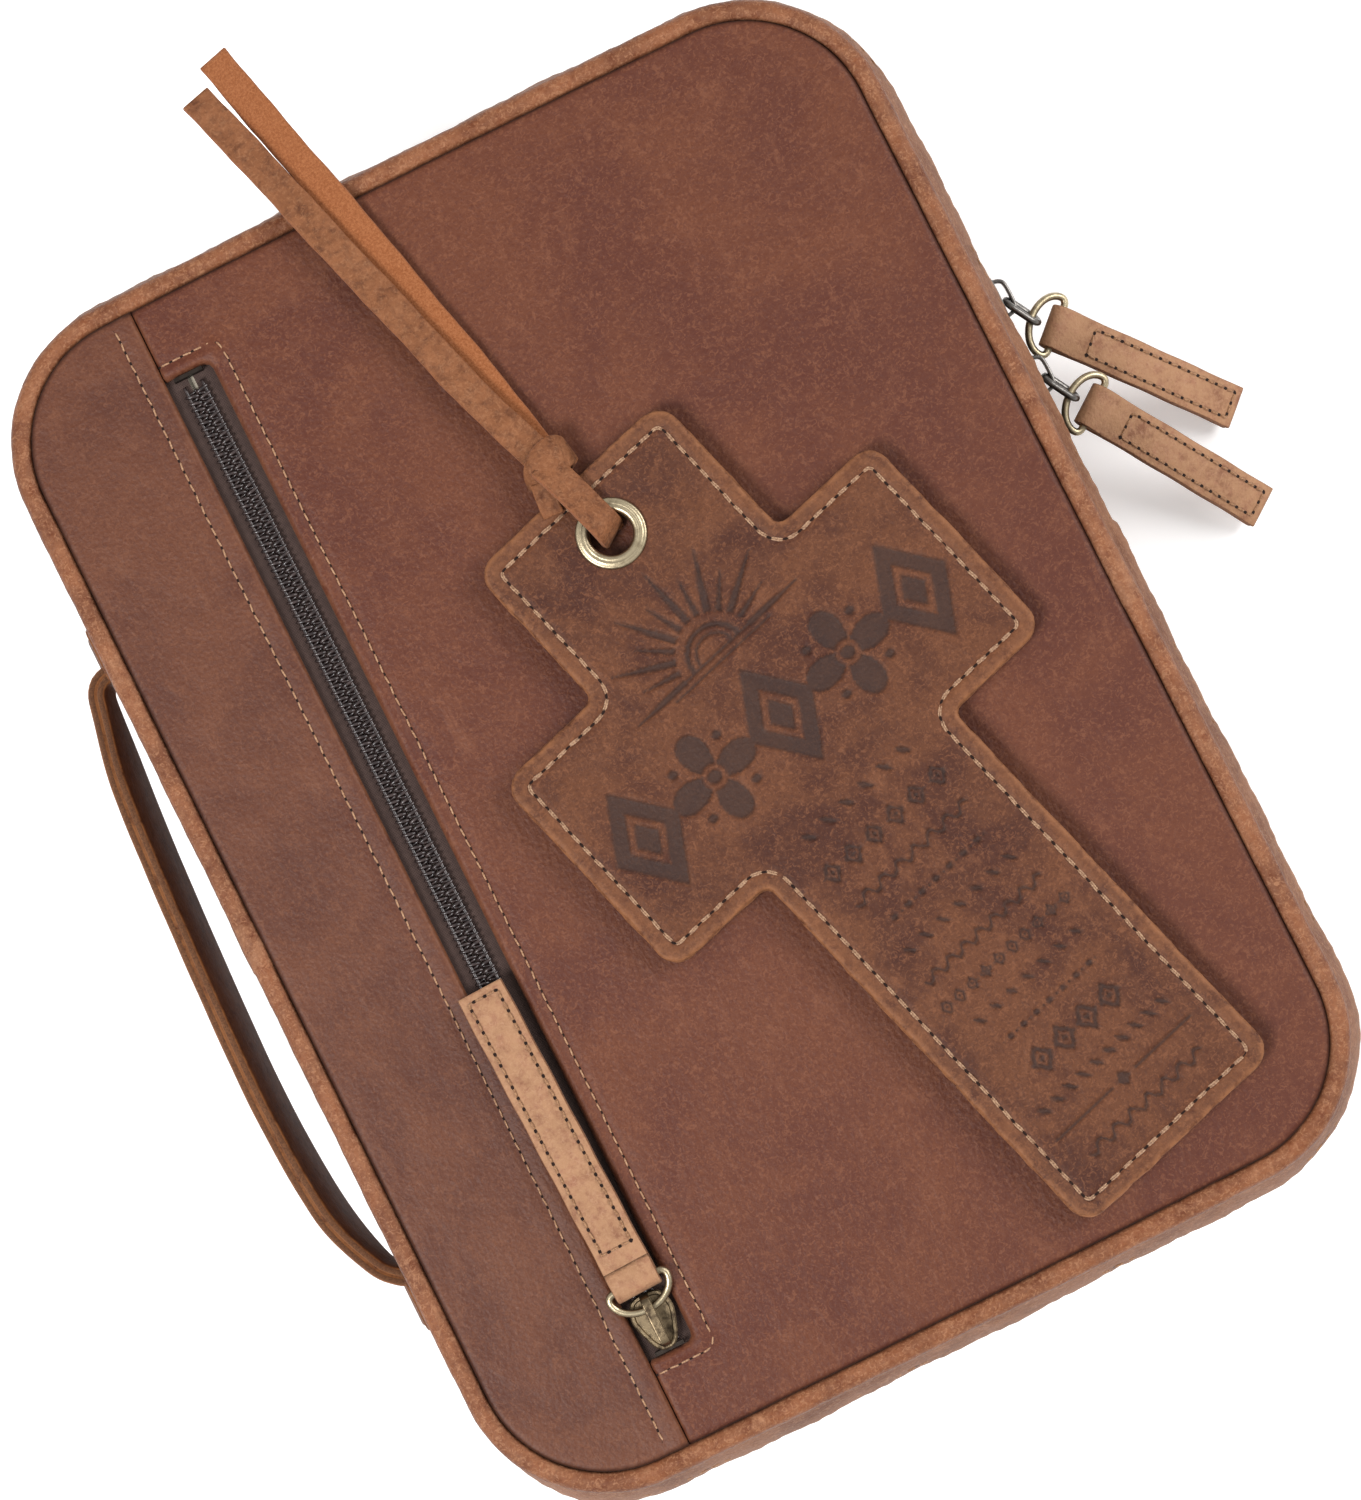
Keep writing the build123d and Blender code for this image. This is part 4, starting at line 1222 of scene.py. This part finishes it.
# ---- cross bookmark ----
eye_low, eye_high = span("eyelet")
eye = (eye_low + eye_high) / 2
knot_mid = sum(span("lace_knot")) / 2
head = unit(np.array([knot_mid[0] - eye[0], knot_mid[1] - eye[1], 0]))
right = np.array([head[1], -head[0], 0])
cross_low = span("cross_back_leather")[0][2]
ply = span("cross_back_leather")[1][2] - cross_low
cross_top = cross_low + 2 * ply
ARM, SPAN, HEAD, FOOT = 25.75, 51.25, 61.2, -119.8
SEAM = 3.6              # stitch line, in from the cross's edge
EYE_Y = 48.0
centre = eye - head * EYE_Y


def in_cross(points):
    """Points of the cross's own plane placed on the cover."""
    p = np.asarray(points, float)
    world = centre + p[:, :1] * right + p[:, 1:2] * head
    world[:, 2] = p[:, 2]
    return world


def rounded_polygon(corners, step=1.0):
    """Closed outline with an arc at each (x, y, radius) corner."""
    out = []
    n = len(corners)
    for k in range(n):
        before, here, after = (np.array(corners[(k + d) % n][:2], float) for d in (-1, 0, 1))
        r = corners[k][2]
        a, b = unit(before - here), unit(after - here)
        turn = math.acos(np.clip(-(a @ b), -1, 1))
        cut = r * math.tan(turn / 2)
        mid = here + unit(a + b) * r / math.cos(turn / 2)
        p, q = here + a * cut - mid, here + b * cut - mid
        p_angle, q_angle = math.atan2(p[1], p[0]), math.atan2(q[1], q[0])
        delta = (q_angle - p_angle + math.pi) % (2 * math.pi) - math.pi
        for t in np.linspace(0, 1, 7):
            out.append(mid + r * np.array([math.cos(p_angle + delta * t), math.sin(p_angle + delta * t)]))
    out.append(out[0])
    return resample(out, step)[0][:-1]


def handle_tab(node):
    """Sewn leather tab that the end of the handle comes out of."""
    low, high = span(node)
    mid_y, half_y = (low[1] + high[1]) / 2, (high[1] - low[1]) / 2 - 1
    half_z = (high[2] - low[2]) / 2
    corners = [(-half_y, -half_z, 2), (half_y, -half_z, 2), (half_y, half_z, 2), (-half_y, half_z, 2)]
    loop = rounded_polygon(corners, 0.6)
    xy, tris = flat_mesh(loop, [], 0.9, (0.3, 0.7))
    edge = distance_to(xy, loop)
    spine_face = -PX - 1.6 - 2.0
    bulge = 1.3 * np.exp(-((xy[:, 1] / 4.0) ** 2)) * smooth_step(edge, 0, 2)
    verts, faces = thick_sheet(xy, tris, 0.9 - roll(edge, 0.6) + bulge, np.full(len(xy), -2.2))
    world = np.column_stack([spine_face - verts[:, 2], mid_y + verts[:, 0], MID + verts[:, 1]])
    obj = mesh_object(node + "_tab", world, [f[::-1] for f in faces], handle_leather)
    point_value(obj, "edge", np.tile(np.clip(1 - edge, 0, 1) * 0.6, 2))
    finish(obj, "spine", "panel_leather", node)


handle_tab("handle_upper_anchor")
handle_tab("handle_lower_anchor")


def cross_outline(inset=0.0, step=1.0, ragged=0.0, seed=0):
    """Outline of the cross, drawn in by inset and made uneven by ragged."""
    a, s, h, f, i = ARM - inset, SPAN - inset, HEAD - inset, FOOT + inset, inset
    tip, inner = max(4.8 - inset, 1.2), 2.2 + inset
    half = [
        (a, f, tip), (a, i - ARM, inner), (s, i - ARM, tip),
        (s, ARM - i, tip), (a, ARM - i, inner), (a, h, tip),
    ]
    loop = rounded_polygon(half + [(-x, y, r) for x, y, r in half[::-1]], step)
    if ragged:
        x, y = loop.T
        amount = ragged * (ripple(x, y, 9, seed) + 0.5 * ripple(x, y, 2.5, seed + 1))
        loop = loop - inward_of(loop) * amount[:, None]
    return loop


def pressed(x, y):
    """Pressed ornament: a rising sun, a band of lozenges and rosettes, and rows of small motifs. 0 to 1."""
    marks = []

    def add(inside_by, soft=0.22):
        marks.append(smooth_step(inside_by, -soft, soft))

    sx, sy = x + 1.0, y - 15.5
    r, a = np.hypot(sx, sy), np.arctan2(sy, sx)
    spacing = math.pi / 12
    k = np.round(a / spacing)
    away = np.abs(a - k * spacing) * r
    reach = np.where(np.mod(k, 2) == 0, 22.0, 17.0)
    width = 0.62 * np.clip((reach - r) / 9, 0, 1) + 0.14
    add(np.minimum.reduce([width - away, r - 8.6, reach - r, sy + 2.0]))
    add(np.minimum(0.55 - np.abs(r - 6.0), sy - 0.2))
    add(np.minimum(0.3 - np.abs(r - 4.2), sy - 0.2))
    add(np.minimum(0.38 - np.abs(sy), 17.0 - np.abs(sx)))
    add(np.minimum(0.25 - np.abs(sy + 1.6), 13.0 - np.abs(sx)))
    for index, cx in enumerate((-37.0, -18.5, 0.0, 18.5, 37.0)):
        dx, dy = x - cx, y + 2.5
        if index % 2 == 0:
            diamond = 1 - np.abs(dx) / 8.6 - np.abs(dy) / 12.6
            add(np.minimum(diamond * 6, (0.46 - diamond) * 6), 0.3)
            add((diamond - 0.66) * 6, 0.3)
        else:
            rr, aa = np.hypot(dx, dy), np.arctan2(dy, dx)
            petal = 10.6 * np.abs(np.cos(2 * aa)) ** 0.8
            add(np.minimum(petal - rr, rr - 2.6), 0.3)
            add(1.5 - rr)
            add(1.0 - np.hypot(np.abs(dx) - 6.0, np.abs(dy) - 6.0))
    rows = [
        (-24.5, 5.2, 17.5, "leaf", 1.0), (-33.0, 5.8, 18.5, "lozenge", 1.25), (-41.0, 4.4, 17.5, "wave", 0.9),
        (-48.0, 3.8, 14.5, "dot", 0.9), (-55.0, 4.6, 18.0, "leaf", 0.85), (-62.0, 4.0, 16.5, "wave", 0.8),
        (-68.5, 3.6, 18.0, "lozenge", 0.8), (-75.0, 4.4, 17.0, "leaf", 0.8), (-81.5, 3.6, 14.0, "dot", 0.8),
        (-89.0, 6.2, 12.4, "lozenge", 1.6), (-97.0, 3.6, 19.0, "leaf", 0.9), (-109.5, 4.4, 17.0, "wave", 0.9),
    ]
    for row_y, pitch, half, kind, size in rows:
        reach = int(2 * half / pitch) * pitch / 2
        u = np.mod(x + reach, pitch) - pitch / 2
        v = y - row_y
        if kind == "leaf":
            shape = 0.62 * size - np.abs(u * 0.8 + v * 0.6) - 0.17 * (v * 0.8 - u * 0.6) ** 2 / size
        elif kind == "lozenge":
            d = 1 - np.abs(u) / (1.75 * size) - np.abs(v) / (2.1 * size)
            shape = np.maximum(np.minimum(d, 0.45 - d) * 2.2, (d - 0.72) * 2.2)
        elif kind == "wave":
            shape = 0.36 - np.abs(v - 1.15 * size * np.sin(2 * math.pi * u / pitch)) * 0.8
        else:
            shape = np.maximum(0.85 * size - np.hypot(u, v), 0.3 - np.hypot(np.abs(u) - pitch / 2, v))
        add(np.minimum(shape, reach - np.abs(x) + 0.05), 0.16)
    add(np.minimum.reduce([0.3 - np.abs(y + 103.0), 18.5 - np.abs(x), np.abs(x) - 3.0]))
    add(1.5 - np.abs(x) * 0.9 - np.abs(y + 103.0) * 0.8)
    return np.max(marks, 0)


CROSS_WAVE = 34         # size of the slow waves in the cross


def cross_layer(name, low, high, node, top, seed, spacing):
    """One leather layer of the cross; the top one carries the seam's groove and the pressed ornament."""
    loop = cross_outline(0.0 if top else -0.15, 1.0, 0.16, seed)
    hole = arc(0, EYE_Y, 5.3, 0, 360, 41)[:-1]
    xy, tris = flat_mesh(loop, [hole], spacing, (0.35, 0.8, 1.4, 2.8, 3.2, 3.6, 4.0, 4.5) if top else (0.5,))
    edge = distance_to(xy, loop)
    x, y = xy.T
    mark = pressed(x, y) if top else np.zeros(len(xy))
    wavy = 0.14 * ripple(x, y, CROSS_WAVE, 5)
    upper = high + wavy - roll(edge, 0.5)
    if top:
        upper += 0.10 * ripple(x, y, 7, 6) - 0.42 * bump_at(edge, SEAM, 0.5) - 0.62 * mark
        upper += 0.12 * bump_at(edge, 2.2, 1.1)
    verts, faces = thick_sheet(xy, tris, upper, low + (wavy if top else 0 * wavy))
    obj = mesh_object(name, in_cross(verts), faces, [cross_leather.material, cut_edge])
    sides = len(faces) - 2 * len(tris)
    obj.data.polygons.foreach_set("material_index", [0] * (2 * len(tris)) + [1] * sides)
    worn = np.clip(1 - edge / 1.3, 0, 1) + 0.35 * bump_at(edge, 2.2, 1.3)
    point_value(obj, "edge", np.tile(worn, 2))
    # The pressed value also sets the painted shade in the ornament's recesses.
    point_value(obj, "pressed", np.concatenate([mark, 0 * mark]))
    finish(obj, "bookmark", "cross_leather", node)


def paint_pressed_shade():
    """The pressed ornament is painted darker than the leather round it: painted shade in its recesses."""
    s = cross_leather
    before = next(link.from_socket for link in s.tree.links if link.to_socket == s.bsdf.inputs["Base Color"])
    s.set(Base_Color=s.mix(s.math("MULTIPLY", s.value("pressed"), 0.78), before, srgb(46, 32, 28)))


def cross_stitches():
    line = cross_outline(SEAM, 0.8)
    height = cross_top - 0.30 + 0.14 * ripple(line[:, 0], line[:, 1], CROSS_WAVE, 5)
    line = in_cross(with_z(line, height))
    stitch_row("cross_stitches", line, UP, "bookmark", "cross_leather", cream_thread, pitch=3.4, closed=True,
               doubled=True, cover=0.74, lift=0.02)


paint_pressed_shade()
fine = 0.5
cross_layer("cross_front", cross_low + ply + 0.02, cross_top, "cross_front_leather", True, 41, fine)
cross_layer("cross_back", cross_low, cross_low + ply - 0.1, "cross_back_leather", False, 51, 3.0)
cross_stitches()


def page_block():
    """The leaves of the book: rounded fore-edge corners, a hollow fore-edge and uneven leaf edges."""
    low, high = span("bible_pages")
    corners = [(low[0], low[1], 1), (high[0], low[1], 7), (high[0], high[1], 7), (low[0], high[1], 1)]
    loop = rounded_polygon(corners, 1.5)
    inward = inward_of(loop)
    fore = smooth_step(loop[:, 0], high[0] - 9, high[0])
    uneven = np.random.default_rng(61)
    rings = []
    for t in np.linspace(0, 1, 64):
        ring = loop + inward * uneven.uniform(0.0, 0.16)
        ring[:, 0] -= 1.3 * math.sin(math.pi * t) * fore
        rings.append(with_z(ring, low[2] + (high[2] - low[2]) * t))
    n, last = len(loop), len(rings) - 1
    faces = [tuple(range(n - 1, -1, -1)), tuple(range(last * n, (last + 1) * n))] + ring_faces(n, last + 1)
    obj = mesh_object("page_block", np.vstack(rings), faces, [page_edge, page_face], smooth=False)
    obj.data.polygons.foreach_set("material_index", [1, 1] + [0] * (len(faces) - 2))
    finish(obj, "back_shell", "page_paper", "bible_pages")


page_block()


def lathe(profile, origin, segments=72):
    """Turned shape from (radius, height) points."""
    r, z = np.array(profile).T
    verts = [np.column_stack([r * c, r * s, z]) for c, s in circle(segments)]
    faces = [face[::-1] for face in ring_faces(len(profile), segments, closed=True)]
    return np.vstack(verts) + origin, faces


def eyelet():
    """Domed flange with a fine groove in it, and the barrel through the hole."""
    low, high = eye_low[2], eye_high[2]
    profile = [(4.5, low), (4.5, high - 0.7)]
    profile += [(r, high + h) for r, h in (
        (4.7, -0.15), (5.1, 0.1), (5.6, 0.12), (5.85, -0.03), (6.05, 0.08), (6.5, 0.02), (6.7, -0.14),
        (6.9, -0.06), (7.2, -0.25), (7.4, -0.6), (7.35, -0.85), (5.2, -0.8), (5.0, -1.2))]
    profile.append((5.0, low))
    obj = mesh_object("eyelet_metal", *lathe(profile, (eye[0], eye[1], 0)), brass)
    finish(obj, "bookmark", "antique_brass", "eyelet")


eyelet()


# ---- lace ----
GRAIN_ROUTE = [
    (0.0014, 0.0625, 0.0553), (-0.0050, 0.0790, 0.0539), (-0.0110, 0.1005, 0.0535),
    (-0.0176, 0.1220, 0.0534), (-0.0236, 0.1435, 0.0531), (-0.0294, 0.1625, 0.0510),
]
SUEDE_ROUTE = [
    (0.0019, 0.0627, 0.0524), (-0.0010, 0.0795, 0.0516), (-0.0066, 0.1020, 0.0514),
    (-0.0116, 0.1245, 0.0515), (-0.0176, 0.1475, 0.0510), (-0.0226, 0.1690, 0.0486),
]
LACE_W, LACE_T = 6.8, 1.7


def route_points(route):
    """Points along the route's smooth curve, in metres."""
    data = bpy.data.curves.new("route", "CURVE")
    data.dimensions = "3D"
    data.resolution_u = 24
    spline = data.splines.new("NURBS")
    spline.points.add(len(route) - 1)
    for point, place in zip(spline.points, route):
        point.co = (*place, 1)
    spline.order_u = 3
    spline.use_endpoint_u = True
    obj = bpy.data.objects.new("route", data)
    bpy.context.scene.collection.objects.link(obj)
    bpy.context.view_layer.update()
    points = [tuple(v.co) for v in bpy.data.meshes.new_from_object(obj).vertices]
    bpy.data.objects.remove(obj)
    return points


def lace_tail(name, route, node, slot, face, turn):
    """Flat lace along a route, slowly turning and a little uneven."""
    points = route_points(route)
    path = resample(np.array(points) / M, 0.8)[0]
    along = np.linspace(0, 1, len(path))
    ups = np.stack([np.sin(turn * along), 0 * along, np.cos(turn * along)], 1)
    widths = LACE_W * (1 + 0.02 * np.sin(along * 31) + 0.01 * np.sin(along * 83))
    sections = np.array([rounded_profile(w, LACE_T, 0.45) for w in widths])
    sections[:, :, 1] += 0.10 * np.sin(along * 23)[:, None]
    obj = strip(name, path, ups, sections, face, lace_suede, worn=0.35)
    finish(obj, "bookmark", slot, node)


lace_tail("lace_grain_tail", GRAIN_ROUTE, "lace_tail_grain", "lace_grain", lace_grain, 0.12)
lace_tail("lace_suede_tail", SUEDE_ROUTE, "lace_tail_suede", "lace_suede", lace_suede, -0.10)


def lace_band(name, points, ups, width, closed=False, node=None, thick=LACE_T, crown=0.0):
    """Band of lace through points in the cross's plane; ups(path) gives the way its face looks."""
    path = smooth_curve(points, 0.5)
    if closed:
        path = path[:-1]
    widths = width(path) if callable(width) else np.full(len(path), width)
    sections = np.array([rounded_profile(w, thick, min(0.45, thick * 0.4)) for w in widths])
    sections[:, :, 1] -= crown * (2 * sections[:, :, 0] / widths[:, None]) ** 2
    turned = ups(path) @ np.array([right, head, UP])
    obj = strip(name, in_cross(path), turned, sections, lace_grain, lace_suede, closed_path=closed)
    finish(obj, "bookmark", "lace_grain", *([node] if node else []))


def lace_and_knot():
    """The loop through the eyelet, the lapped knot that holds both tails, and its tucked end."""
    edge_y = HEAD + 0.3
    top, low = cross_top + 1.9, cross_low - 1.0

    def outside(path):
        way = tangents(path)
        return np.column_stack([0.36 + 0 * way[:, 0], -way[:, 2], way[:, 1]])

    leg = [
        (0.3, EYE_Y + 0.2, cross_low + 0.6), (0.3, EYE_Y + 0.7, cross_top - 0.4),
        (0.25, EYE_Y + 2.7, top + 0.1), (0.1, EYE_Y + 6.5, top + 0.5), (0, edge_y - 3, top + 0.4),
        (-0.3, edge_y + 2.5, top + 0.1),
        (-0.6, edge_y + 6, top - 0.9),
    ]
    lace_band("lace_front_leg", leg, outside, 6.8, node="lace_loop")
    back = [
        (0.2, EYE_Y + 0.5, cross_low + 0.4), (0.2, EYE_Y + 2.8, low - 0.05), (0.1, EYE_Y + 7, low - 0.1),
        (0, edge_y, low), (0.4, edge_y + 4, low + 0.4),
    ]
    lace_band("lace_back_leg", back, outside, 6.2, thick=1.1)
    mid_y, mid_z = edge_y + 4.2, (top + low) / 2 + 0.2
    rx, rz = 5.9, (top - low) / 2 + 1.1
    wrap = []
    for a in np.linspace(0, 2 * math.pi, 25):
        c, s = math.cos(a), math.sin(a)
        front = max(s, 0)
        wrap.append((rx * c + 0.5 * front, mid_y + 1.9 * front**2 + 1.3 * c - 0.6,
                     mid_z + rz * s * (0.86 + 0.14 * abs(s))))

    def wrap_out(path):
        x, _, z = path.T
        return np.column_stack([x / rx, -0.25 * (z > mid_z), (z - mid_z) / rz])

    def wrap_width(path):
        front = np.clip((path[:, 2] - mid_z) / rz, 0, 1)
        return 5.4 + 3.0 * front + 0.25 * np.sin(np.arange(len(path)) * 0.31)

    lace_band("lace_wrap", wrap, wrap_out, wrap_width, closed=True, node="lace_knot", crown=1.5)
    high = mid_z + rz
    tuck = [(-3.4, mid_y - 0.5, high - 1.9), (-4.6, mid_y - 3.2, high - 2.2), (-5.4, mid_y - 5.4, high - 2.6),
            (-5.9, mid_y - 7.0, high - 3.0)]
    lace_band("lace_tuck", tuck, outside, 4.6, thick=1.3)


lace_and_knot()


# ---- the CAD pieces that keep their own shape ----
def dress(node, material):
    slots = nodes[node].data.materials
    slots.clear()
    slots.append(material)


for node, material in {
    "back_board": board_grey, "front_board": board_grey, "back_lining": lining, "front_lining": lining,
    "back_sleeve": lining, "front_sleeve": lining, "spine_lining": lining, "pocket_bag": lining,
    "pocket_tape_left": tape_cloth, "pocket_tape_right": tape_cloth, "pocket_stops": blackened,
    "eyelet_washer": brass,
    "bible_back_cover": bible_leather, "bible_front_cover": bible_leather, "bible_spine": bible_leather,
    "bible_headband": band_cloth, "bible_tailband": band_cloth, "bible_ribbon": ribbon_red,
}.items():
    dress(node, material)


# ---- floor and light ----
def stage():
    """White paper floor, an even white room and two soft lamps."""
    half = 2500
    corners = [(x * half, y * half, -0.25) for x, y in ((-1, -1), (1, -1), (1, 1), (-1, 1))]
    floor = mesh_object("floor", corners, [(0, 1, 2, 3)], floor_paint())
    world = bpy.data.worlds.new("studio")
    bpy.context.scene.world = world
    world.use_nodes = True
    background = world.node_tree.nodes["Background"]
    background.inputs[0].default_value = (1.0, 0.99, 0.98, 1)
    background.inputs[1].default_value = 0.66
    for name, place, aim, size, power in (
        ("key", (-0.85, -0.30, 1.35), (0.0, 0.0, 0.0), 0.6, 24),
        ("fill", (1.10, 0.05, 0.95), (0.0, 0.0, 0.0), 0.9, 15),
    ):
        light = bpy.data.lights.new(name, "AREA")
        light.shape = "DISK"
        light.size = size
        light.energy = power
        obj = bpy.data.objects.new(name, light)
        bpy.context.scene.collection.objects.link(obj)
        obj.location = place
        obj.rotation_euler = (Vector(aim) - Vector(place)).to_track_quat("-Z", "Y").to_euler()
    bpy.context.scene.view_settings.view_transform = "Standard"


def floor_paint():
    s = Shader("floor")
    s.set(Base_Color=(0.86, 0.86, 0.86, 1), Roughness=0.8, Specular_IOR_Level=0.1)
    s.set(Emission_Color=(1.0, 1.0, 1.0, 1), Emission_Strength=0.30)
    return s.material


stage()
